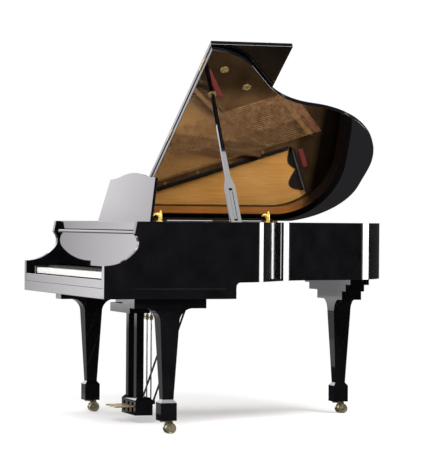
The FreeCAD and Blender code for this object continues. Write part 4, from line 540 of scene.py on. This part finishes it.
def planLine(inset, frontY, count):
    # arcs as centre + radius * (cos a, sin a), joined by straights, then spaced evenly by length
    plan = casePlan
    length, half = plan["length"], plan["width"] / 2
    turn, heading = math.radians(plan["turn"]), math.radians(plan["heading"])
    shares = ("shoulder", "run", "waist", "tail", "corner")
    shoulder, run, waist, tail, bass = (length * plan[share] for share in shares)
    depth = shoulder * math.sin(turn) + run * math.cos(turn)
    depth += waist * (math.sin(turn) - math.sin(heading)) + tail * (1 - math.sin(heading))
    out = np.array([math.cos(turn), math.sin(turn)])
    along = np.array([-math.sin(turn), math.cos(turn)])
    shoulderAt = np.array([half - shoulder, length - depth])
    waistAt = shoulderAt + out * (shoulder + waist) + along * run
    tailAt = waistAt - np.array([math.cos(heading), math.sin(heading)]) * (waist + tail)
    bassAt = np.array([bass - half, length - bass])

    def bend(centre, radius, begin, finish):
        angle = np.linspace(begin, finish, plan["arcSteps"])[:, None]
        return centre + radius * np.hstack([np.cos(angle), np.sin(angle)])

    line = np.vstack([
        [[half - inset, frontY]],
        bend(shoulderAt, shoulder - inset, 0, turn),
        bend(waistAt, waist + inset, math.pi + turn, math.pi + heading),
        bend(tailAt, tail - inset, heading, math.pi / 2),
        bend(bassAt, bass - inset, math.pi / 2, math.pi),
        [[inset - half, frontY]],
    ])
    reach = np.concatenate([[0], np.cumsum(np.linalg.norm(np.diff(line, axis=0), axis=1))])
    even = np.linspace(0, reach[-1], count)
    return np.stack([np.interp(even, reach, line[:, k]) for k in (0, 1)], axis=1)


# Veneer on the inside of the rim, above the plate: a thin upright section carried along the plan.
rimVeneer = {"front": 0.475, "inset": 0.0362, "thick": 0.0012, "low": 0.8995, "high": 0.9835,
             "count": 320}


def makeRimVeneer():
    half = rimVeneer["thick"] / 2
    line = planLine(rimVeneer["inset"] + half, rimVeneer["front"], rimVeneer["count"])
    section = uprightSection(half, rimVeneer["low"], rimVeneer["high"])
    buildGrids("rimVeneer", carrySection(line, section), rimVeneerWood, "case")


makeRimVeneer()

# Black strips at the edges of the plate's big opening, beside the bass strut and by the tail, are
# painted shade: the strut's shadow on the soundboard and the shaded edge by the tail. They are an
# L-shaped section, over the plate's edge and out on the soundboard, carried along the straight
# edge. Its reach on the soundboard swells in arches by |sin|, larger towards the end. Places in
# plan are from the middle of the case and the arm fronts.
edgeShadeStrips = {
    "Strut": {"start": (-0.6587, 0.6038), "end": (-0.3575, 1.4404), "share": (0.04, 0.975),
              "over": 0.013, "out": 0.026, "arch": (0.0, 0.0), "arches": 1},
    "Tail": {"start": (-0.3575, 1.4404), "end": (-0.75, 1.621), "share": (0.02, 0.66),
             "over": 0.01, "out": 0.012, "arch": (0.015, 0.075), "arches": 2},
}
edgeShadeStrip = {"plateTop": 0.898, "boardTop": 0.871, "thick": 0.002, "gap": 0.0003, "rows": 60}


def makeEdgeShadeStrips():
    rows, gap, thick = edgeShadeStrip["rows"], edgeShadeStrip["gap"], edgeShadeStrip["thick"]
    low, high, wall = edgeShadeStrip["boardTop"] + gap, edgeShadeStrip["plateTop"] + gap, -gap - thick
    lip = slice(4, 6)          # the two points of the section furthest out on the soundboard
    for name, felt in edgeShadeStrips.items():
        over = felt["over"]
        line = straightLine(felt["start"], felt["end"], rows, felt["share"])
        outline = [(over, high), (over, high + thick), (wall, high + thick), (wall, low + thick),
                   (0, low + thick), (0, low), (-gap, low), (-gap, high)]
        section = np.tile(outline, (rows, 1, 1))
        turn = np.linspace(0, math.pi * felt["arches"], rows)
        arch = np.linspace(*felt["arch"], rows) * np.abs(np.sin(turn))
        section[:, lip, 0] = -(felt["out"] + arch)[:, None]
        grid = carrySection(line, section)
        # black felt finish on the strips of painted shade
        buildGrids(f"edgeShadeStrip{name}", grid, blackFelt, "case")


makeEdgeShadeStrips()

# A narrow black felt strip on the spine rim for the edge of the lid.
spineFelt = {"start": (-0.743, 0.6), "end": (-0.743, 1.36), "rows": 40, "half": 0.003,
             "low": 0.9862, "high": 0.9918}


def makeSpineFelt():
    line = straightLine(spineFelt["start"], spineFelt["end"], spineFelt["rows"])
    section = uprightSection(spineFelt["half"], spineFelt["low"], spineFelt["high"])
    buildGrids("spineFelt", carrySection(line, section), blackFelt, "case")


makeSpineFelt()

# Red felts on the plate by the hitch pins: a flat squared ring carried along straight lines.
hitchFelts = {
    "tail": ((-0.470, 1.533), (-0.372, 1.488)), "bass": ((-0.262, 1.560), (-0.047, 1.362)),
    "tenor": ((-0.080, 0.995), (0.066, 0.904)),
}
hitchFelt = {"half": 0.013, "thick": 0.005, "plateTop": 0.898, "rows": 30, "sides": 14,
             "powers": (0.5, 0.7)}


def makeHitchFelts():
    rise = hitchFelt["thick"] / 2
    ring = squaredRing(hitchFelt["sides"], hitchFelt["powers"])
    section = ring * (hitchFelt["half"], rise) + (0, hitchFelt["plateTop"] + rise)
    grids = [carrySection(straightLine(start, end, hitchFelt["rows"]), section)
             for start, end in hitchFelts.values()]
    buildGrids("hitchFelts", grids, redFelt, "case")


makeHitchFelts()

# String felts: strips with a rounded, slightly uneven top, on the plate under the string ends. Each
# is a squared ring carried from one end of its CAD block to the other, with two sines for the
# unevenness.
feltStrip = {"sides": 14, "rows": 48, "powers": (0.6, 0.6), "uneven": 0.0006, "waves": (61, 23)}


def makeStringFelts():
    mesh = nodes["string_felts"].data
    places = np.empty(len(mesh.vertices) * 3, np.float32)
    mesh.vertices.foreach_get("co", places)
    blocks = np.unique(places.reshape(-1, 3).round(5), axis=0).reshape(-1, 8, 3)
    start, end = blocks[:, :4].mean(1), blocks[:, 4:].mean(1)
    share = np.linspace(0, 1, feltStrip["rows"])
    middle = start[:, None] + (end - start)[:, None] * share[:, None]
    wide = np.ptp(blocks[:, :4, 1], axis=1)[:, None, None] / 2
    tall = np.ptp(blocks[:, :4, 2], axis=1)[:, None, None] / 2
    fast, slow = feltStrip["waves"]
    wave = (1 + np.sin(share * fast) * np.cos(share * slow))[:, None]
    sway = 1 - feltStrip["uneven"] / tall * wave
    ring = squaredRing(feltStrip["sides"], feltStrip["powers"])
    grids = np.repeat(middle[:, :, None], feltStrip["sides"], axis=2)
    grids[..., 1] += ring[:, 0] * wide
    grids[..., 2] += ring[:, 1] * tall * sway
    piece = buildGrids("stringFelts", grids, redFelt, "case")
    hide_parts("string_felts")


makeStringFelts()

# Hammers: a thin round shank, a tapered wooden moulding and an egg of felt stretched over its tip,
# its cheeks drawn in a little. Each hammer stands under its string: front end of the string across
# the case, by section, plus its lean. Lengths in metres, the rest as shares of the half sizes.
hammer = {
    "count": 88, "sectionNotes": (1, 26, 27, 45, 46, 64, 65, 88),
    "sectionPlaces": (-0.66402, -0.36414, -0.23562, 0.00714, 0.04641, 0.31059, 0.34986, 0.64974),
    "frontEnds": (0.4, 0.53), "bassLean": 0.36, "tenorLean": -0.12, "strike": 0.54,
    "width": 0.009, "length": 0.022, "low": 0.813, "high": 0.863,
    "sides": 12, "feltTall": 0.5, "feltLong": 0.8, "egg": 0.25, "cheek": 0.92, "cheekSize": 0.84,
    "woodWide": 0.8, "woodLong": 0.62, "woodTaper": 0.55, "woodTall": 0.034,
    "shankStart": 0.444, "shankEnd": 0.004, "shankLevel": 0.822, "shank": 0.003, "shankSides": 8,
}


def makeHammers():
    h = hammer
    count = h["count"]
    bassEnd, tenorStart = h["sectionNotes"][1:3]
    note = np.arange(1, count + 1)
    front = np.interp(note, (1, count), h["frontEnds"])
    fading = h["tenorLean"] * (1 - (note - tenorStart) / (count - tenorStart))
    lean = np.where(note <= bassEnd, h["bassLean"], fading)
    x = np.interp(note, h["sectionNotes"], h["sectionPlaces"]) + lean * (h["strike"] - front)
    x = x[:, None, None] + corner[0]
    y = h["strike"] + corner[1]
    halfWide, halfLong, halfTall = h["width"] / 2, h["length"] / 2, (h["high"] - h["low"]) / 2

    # felt: egg-shaped rings from cheek to cheek, narrow end up
    along, up = squaredRing(h["sides"]).T
    across = np.array([-1, -h["cheek"], h["cheek"], 1])[:, None]
    size = np.array([h["cheekSize"], 1, 1, h["cheekSize"]])[:, None]
    felt = np.zeros((count, len(across), h["sides"], 3))
    felt[..., 0] = x + halfWide * across
    felt[..., 1] = y + halfLong * h["feltLong"] * size * along * (1 - h["egg"] * up)
    felt[..., 2] = h["high"] - halfTall * h["feltTall"] * (1 - size * up)

    # moulding: a square foot that tapers along the case towards its top
    square = np.array([[-1, -1], [1, -1], [1, 1], [-1, 1]])
    taper = np.array([[1.0], [h["woodTaper"]]])
    wood = np.zeros((count, 2, len(square), 3))
    wood[..., 0] = x + halfWide * h["woodWide"] * square[:, 0]
    wood[..., 1] = y + halfLong * h["woodLong"] * taper * square[:, 1]
    wood[..., 2] = h["low"] + np.array([[0.0], [h["woodTall"]]])

    # shank: a level rod from the action into the moulding
    ring = squaredRing(h["shankSides"]) * h["shank"]
    ends = np.array([[h["shankStart"]], [h["strike"] - halfLong + h["shankEnd"]]])
    rod = np.zeros((count, 2, h["shankSides"], 3))
    rod[..., 0] = x + ring[:, 0]
    rod[..., 1] = ends + corner[1]
    rod[..., 2] = h["shankLevel"] + ring[:, 1]

    pieces = [buildGrids("hammerFelts", felt, whiteFelt, "keyboard"),
              buildGrids("hammerMouldings", wood, mapleWood, "keyboard"),
              buildGrids("hammerShanks", rod, mapleWood, "keyboard")]
    for piece in pieces:
        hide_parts("hammers")


makeHammers()

# Pedals: a brass tongue. Half width and thickness are functions of the distance from the tip: a
# round toe, full width, then a waist down to the arm. The tip is blunt and a little thinner.
pedal = {"toeHalf": 0.022, "toeRound": 0.02, "blunt": 0.0004, "waist": (0.04, 0.07),
         "armHalf": 0.0095, "thick": 0.0045, "thinRun": 0.006, "thinnest": 0.15,
         "powers": (0.55, 0.75), "rows": 60, "sides": 20}


def makePedals():
    ring = squaredRing(pedal["sides"], pedal["powers"])
    for name in ("left", "middle", "right"):
        low, high = (np.array(c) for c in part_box(f"pedal_{name}"))
        reach = high[1] - low[1]
        run = reach * (1 - np.cos(np.linspace(0, np.pi, pedal["rows"]))) / 2
        inward = 1 - np.clip(run / pedal["toeRound"], 0, 1)
        toe = pedal["toeHalf"] * np.sqrt(np.clip(1 - inward ** 2, pedal["blunt"], 1))
        waist = smoothStep(run, *pedal["waist"])
        half = toe * (1 - waist) + pedal["armHalf"] * waist
        thinner = np.clip(np.sqrt(run / pedal["thinRun"]), pedal["thinnest"], 1)
        thick = pedal["thick"] * thinner
        grid = np.zeros((pedal["rows"], pedal["sides"], 3))
        grid[..., 0] = (low[0] + high[0]) / 2 + half[:, None] * ring[:, 0]
        grid[..., 1] = low[1] + run[:, None]
        grid[..., 2] = (low[2] + high[2]) / 2 + thick[:, None] * ring[:, 1]
        piece = buildGrids(f"pedal{name.capitalize()}", grid, polishedBrass, f"foot_{name}")
        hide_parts(f"pedal_{name}")


makePedals()

# Collars on the pedal rods: a turned nut with two rounded waists and rounded ends, one on each rod.
rodCollar = {"level": 0.503, "radius": 0.011, "tall": 0.026, "bore": 0.0036, "waists": 2,
             "waistDepth": 0.18, "endSize": 0.55, "endSlope": 6, "rows": 16, "sides": 24}


def makeRodCollars():
    collar = rodCollar
    share = np.linspace(0, 1, collar["rows"])
    depth = collar["waistDepth"]
    waist = 1 - depth + depth * np.cos(share * 2 * np.pi * collar["waists"])
    ends = np.clip(np.sin(share * np.pi) * collar["endSlope"], collar["endSize"], 1)
    outer = np.column_stack([collar["radius"] * waist * ends, share * collar["tall"]])
    foot, top = (collar["bore"], 0), (collar["bore"], collar["tall"])
    profile = np.vstack([[foot], outer, [top], [foot]])
    for name in ("left", "middle", "right"):
        low, high = (np.array(p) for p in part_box(f"pedal_rod_{name}"))
        origin = ((low + high) / 2)[:2].tolist() + [collar["level"]]
        grid = turnProfile(profile, origin, (0, 0, 1), collar["sides"])
        buildGrids(f"rodCollar{name.capitalize()}", grid, polishedBrass, f"rod_{name}",
                   capped=False)


makeRodCollars()

# Caster wheels: a pair of turned brass wheels, round tread, dished face and a raised hub. Edge and
# dish are pairs of a share of the radius and a depth below the face, in metres.
wheel = {"radius": 0.026, "width": 0.02, "neck": 0.016, "gap": 0.0003, "bore": 0.0041, "sides": 40,
         "edge": ((0.86, 0.0), (0.96, 0.0012), (1.0, 0.005)),
         "dish": ((0.8, 0.0002), (0.7, 0.003), (0.42, 0.003), (0.34, 0.0004), (0.28, 0.0))}


def makeWheels():
    width, radius, bore = wheel["width"], wheel["radius"], wheel["bore"]
    inner = np.array(wheel["edge"]) * (radius, 1)
    outer = np.array(wheel["edge"][::-1] + wheel["dish"]) * (radius, -1) + (0, width)
    profile = np.vstack([[(bore, 0)], inner, outer, [(bore, width)], [(bore, 0)]])
    start = wheel["neck"] / 2 + wheel["gap"]
    for name in ("treble", "bass", "tail"):
        low, high = (np.array(c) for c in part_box(f"caster_wheels_{name}"))
        middle = (low + high) / 2
        grids = [turnProfile(profile, middle + [side * start, 0, 0], (side, 0, 0), wheel["sides"])
                 for side in (-1, 1)]
        piece = buildGrids(f"casterWheels{name.capitalize()}", grids, agedBrass, f"wheels_{name}",
                           capped=False)
        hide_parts(f"caster_wheels_{name}")


makeWheels()

# Lid hooks: a turned foot, a neck that swells and bends over into a beak along the rim, and a thumb
# piece with a round end, all cast in brass. The foot is a profile of (radius, height), neck and
# thumb are Bezier curves of (along the rim, height), all in mm.
hook = {"foot": ((0.5, 0), (14, 0), (14, 1.4), (11.2, 3), (7.7, 4.5), (0.5, 6)),
        "neck": ((1, 3), (6, 14), (6, 34), (-12, 36), (-26, 38), (-27, 26)),
        "neckRadii": (8.0, 9.5, 10.5, 8.0, 6.0, 1.5),
        "thumb": ((1, 24), (8, 28), (2, 42), (7, 53)), "thumbRadii": (8.5, 5.0, 9.5, 0.6),
        "rows": 30, "sides": 18}


def bezier(points, rows):
    # each point times its Bernstein weight: C(n, i) * t^i * (1 - t)^(n - i)
    points = np.asarray(points, float)
    t = np.linspace(0, 1, rows)[:, None]
    last = len(points) - 1
    i = np.arange(len(points))
    weights = np.array([math.comb(last, k) for k in i]) * t ** i * (1 - t) ** (last - i)
    return weights @ points


def makeHooks():
    foot = np.array(hook["foot"]) / 1000
    for name in ("front", "rear"):
        low, high = (np.array(c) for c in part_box(f"lid_hook_{name}"))
        origin = np.array([(low[0] + high[0]) / 2, high[1] - foot[:, 0].max(), low[2]])
        parts = [("Foot", turnProfile(foot, origin, (0, 0, 1), hook["sides"]))]
        for part in ("neck", "thumb"):
            curve = bezier(hook[part], hook["rows"]) / 1000
            path = origin + np.column_stack([np.zeros(hook["rows"]), curve])
            radii = bezier(hook[part + "Radii"], hook["rows"]) / 1000
            parts.append((part.capitalize(), sweepTube(path, radii, hook["sides"], (1, 0, 0))))
        for part, grid in parts:
            piece = buildGrids(f"hook{part}{name.capitalize()}", grid, castBrass, f"hook_{name}")
            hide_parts(f"lid_hook_{name}")


makeHooks()
print("new pieces built")

# Floor and backdrop: plain white to the camera and in reflections, a pale matt floor to the lamps,
# so that the shadow stays. With the distance the floor fades into the white backdrop.
studio = {"floor": "#bdbbba", "floorGloss": 0.9, "floorGlow": 0.42, "reach": 60.0,
          "fade": (1.0, 3.2), "worldLight": 0.5}
white = (1, 1, 1, 1)


def glossyOnly(card):
    for ray in ("camera", "diffuse", "shadow", "transmission", "volume_scatter"):
        setattr(card, "visible_" + ray, False)


def makeStageMesh(name, grid, material):
    rows, columns, _ = grid.shape
    index = np.arange(rows * columns).reshape(rows, columns)
    quads = np.stack([index[:-1, :-1], index[:-1, 1:], index[1:, 1:], index[1:, :-1]], axis=-1)
    mesh = bpy.data.meshes.new(name)
    mesh.from_pydata(grid.reshape(-1, 3).tolist(), [], quads.reshape(-1, 4).tolist())
    mesh.materials.append(material)
    card = addObject(name, mesh)
    return card


def levelSheet(x, y, height):
    return np.array([[(across, back, height) for across in x] for back in y])


def addSeen(tree):
    # 1 for what the camera sees, straight or in gloss and glass
    path = addNode(tree, "LightPath").outputs
    seen = path["Is Camera Ray"]
    for ray in ("Is Glossy Ray", "Is Transmission Ray"):
        seen = addNode(tree, "Math", {"operation": "MAXIMUM"}, {0: seen, 1: path[ray]}).outputs[0]
    return seen


def makeFloor():
    material, tree, place = startMaterial("paleStudioFloor")
    seen = addSeen(tree)
    glow = addNode(tree, "Math", {"operation": "MULTIPLY", 1: studio["floorGlow"]}, {0: seen})
    matt = {"Base Color": toLinear(studio["floor"]), "Roughness": studio["floorGloss"],
            "Specular IOR Level": 0.0, "Emission Color": white}
    near = addNode(tree, "BsdfPrincipled", matt, {"Emission Strength": glow.outputs[0]})
    away = addNode(tree, "VectorMath", {"operation": "LENGTH"}, {0: place}).outputs["Value"]
    share = addSpan(tree, away, studio["fade"], kind="SMOOTHSTEP")
    mask = addNode(tree, "Math", {"operation": "MULTIPLY"}, {0: share, 1: seen}).outputs[0]
    far = addNode(tree, "Emission", {"Strength": 1.0})
    blend = addNode(tree, "MixShader", links={0: mask, 1: near.outputs[0], 2: far.outputs[0]})
    addNode(tree, "OutputMaterial", links={"Surface": blend.outputs[0]})
    span = (-studio["reach"], studio["reach"])
    makeStageMesh("floor", levelSheet(span, span, 0.0), material)


makeFloor()


def makeWorld():
    world = bpy.data.worlds.new("whiteStudio")
    bpy.context.scene.world = world
    world.use_nodes = True
    tree = world.node_tree
    tree.nodes.clear()
    level = addSpan(tree, addSeen(tree), target=(studio["worldLight"], 1.0))
    sky = addNode(tree, "Background", {"Color": white}, {"Strength": level})
    addNode(tree, "OutputWorld", links={"Surface": sky.outputs[0]})


makeWorld()

# Cards round the piano that only its gloss can see: azimuth is counted from +X towards +Y. A card
# is a patch of a sphere. Dark flags keep the treble side black, white ones draw the lines on the
# bends. Both cards in front are uneven: the glow runs from one level to the other across them, low
# down and high up.
cards = {
    "sideFlag": {"azimuth": (-62, 91), "elevation": (-12, 88), "radius": 8.6, "strength": 0.02},
    "ceilingFlag": {"azimuth": (82, 298), "elevation": (32, 88), "radius": 8.6, "strength": 0.04},
    "rearCard": {"azimuth": (93, 104), "elevation": (-8, 16), "radius": 8.0, "strength": 14.0},
    "farFlag": {"azimuth": (105, 165), "elevation": (-12, 30), "radius": 8.6, "strength": 0.05},
    "frontCard": {"azimuth": (182, 222), "elevation": (-3.9, 16), "radius": 8.0,
                  "colour": "#f9f5fa", "across": (-2.3, -3.4), "up": (1.2, 2.0),
                  "low": (0.8, 3.2), "high": (2.8, 1.0)},
    "frontFlag": {"azimuth": (182, 222), "elevation": (-7, -3.9), "radius": 8.0,
                  "across": (-2.3, -3.4), "up": (0.1, 0.35),
                  "low": (0.25, 0.25), "high": (1.3, 1.3)},
}
cardPatch = {"steps": 24, "centre": 0.9, "lowest": 0.002}
# Sheets that only gloss sees: dark ones on the floor, in front, along the treble side for the legs
# and behind the tail for the lid to show, and a white one over the treble side that lights the
# lower half of the lid prop.
sheets = {
    "tailSheet": {"x": (-3.2, 0.75), "y": (-0.2, 4.5), "height": 0.004, "strength": 0.045,
                  "colour": "#d3d8f2"},
    "trebleSheet": {"x": (-0.55, 8.5), "y": (-0.9, 6.0), "height": 0.003, "strength": 0.03},
    "bassSheet": {"x": (-8.0, -0.55), "y": (-0.9, 2.0), "height": 0.003, "strength": 0.35},
    "frontSheet": {"x": (-8.0, 8.5), "y": (-5.0, -0.9), "height": 0.003, "strength": 0.25},
    "propCard": {"x": (0.8, 1.7), "y": (-0.2, 0.7), "height": 2.3, "strength": 7.0},
}


def addUneven(tree, place, card):
    # glow by place: across the card, and with the height from the low pair of levels to the high
    split = addNode(tree, "SeparateXYZ", links={0: place}).outputs
    low, high = (addSpan(tree, split["Y"], card["across"], card[pair]) for pair in ("low", "high"))
    share = addSpan(tree, split["Z"], card["up"])
    return addNode(tree, "Mix", links={0: share, 2: low, 3: high}).outputs[0]


def hangCard(name, grid, card):
    material, tree, place = startMaterial(name + "Glow")
    settings = {"Color": toLinear(card.get("colour", "#ffffff"))}
    links = {}
    if "strength" in card:
        settings["Strength"] = card["strength"]
    else:
        links["Strength"] = addUneven(tree, place, card)
    glow = addNode(tree, "Emission", settings, links)
    addNode(tree, "OutputMaterial", links={"Surface": glow.outputs[0]})
    glossyOnly(makeStageMesh(name, grid, material))


def spherePatch(card):
    # (cos a cos e, sin a cos e, sin e) times the radius, kept above the floor
    azimuth = np.radians(np.linspace(*card["azimuth"], cardPatch["steps"]))[None, :]
    elevation = np.radians(np.linspace(*card["elevation"], cardPatch["steps"]))[:, None]
    direction = np.stack([np.cos(azimuth) * np.cos(elevation), np.sin(azimuth) * np.cos(elevation),
                          np.sin(elevation) + 0 * azimuth], axis=-1)
    grid = direction * card["radius"] + [0, 0, cardPatch["centre"]]
    grid[..., 2] = np.maximum(grid[..., 2], cardPatch["lowest"])
    return grid


for name, card in cards.items():
    hangCard(name, spherePatch(card), card)
for name, card in sheets.items():
    hangCard(name, levelSheet(card["x"], card["y"], card["height"]), card)

# Soft studio lamps, in watts and metres.
lamps = {
    "keyLamp": {"at": (4.6, -2.9, 3.9), "aim": (0.0, 0.0, 0.6), "size": 3.0, "power": 620},
    "topLamp": {"at": (-0.9, -1.0, 5.0), "aim": (0.0, 0.0, 0.0), "size": 3.0, "power": 150},
    "insideLamp": {"at": (2.2, 1.4, 3.4), "aim": (-0.2, 0.2, 0.9), "size": 1.4, "power": 180},
}


def makeLamps():
    for name, values in lamps.items():
        lamp = bpy.data.lights.new(name, "AREA")
        lamp.shape = "DISK"
        lamp.size = values["size"]
        lamp.energy = values["power"]
        holder = addObject(name, lamp)
        holder.location = values["at"]
        aim = Vector(values["aim"]) - Vector(values["at"])
        holder.rotation_euler = aim.to_track_quat("-Z", "Y").to_euler()
        holder.visible_glossy = False
        holder.visible_camera = False


makeLamps()

# Camera: eye height at the rim, far back with a long lens, seen from the treble side and the front.
# Place in metres from the arm fronts, angles in radians, focal length in pixels of a picture that
# many pixels tall, sensor in mm.
eye = {"at": (11.142, -2.9596, 0.9873), "yaw": 0.3227, "pitch": -0.0014, "roll": 0.0078,
       "focalPixels": 2363.2, "tall": 450, "sensor": 36.0, "farthest": 300.0}


def makeCamera():
    yaw, pitch, roll = eye["yaw"], eye["pitch"], eye["roll"]
    level = math.cos(pitch)
    ahead = Vector((-math.cos(yaw) * level, math.sin(yaw) * level, math.sin(pitch)))
    right = ahead.cross(Vector((0, 0, 1))).normalized()
    up = right.cross(ahead)
    across = right * math.cos(roll) + up * math.sin(roll)
    upward = up * math.cos(roll) - right * math.sin(roll)
    lens = bpy.data.cameras.new("photoCamera")
    lens.sensor_width = eye["sensor"]
    lens.lens = eye["focalPixels"] * eye["sensor"] / eye["tall"]
    lens.clip_end = eye["farthest"]
    camera = addObject("photoCamera", lens)
    turn = Matrix((across, upward, -ahead)).transposed()
    place = Vector(eye["at"]) + Vector(corner)
    camera.matrix_world = Matrix.Translation(place) @ turn.to_4x4()
    bpy.context.scene.camera = camera


makeCamera()
bpy.context.scene.view_settings.view_transform = "Standard"
print("stage, lamps and camera set")
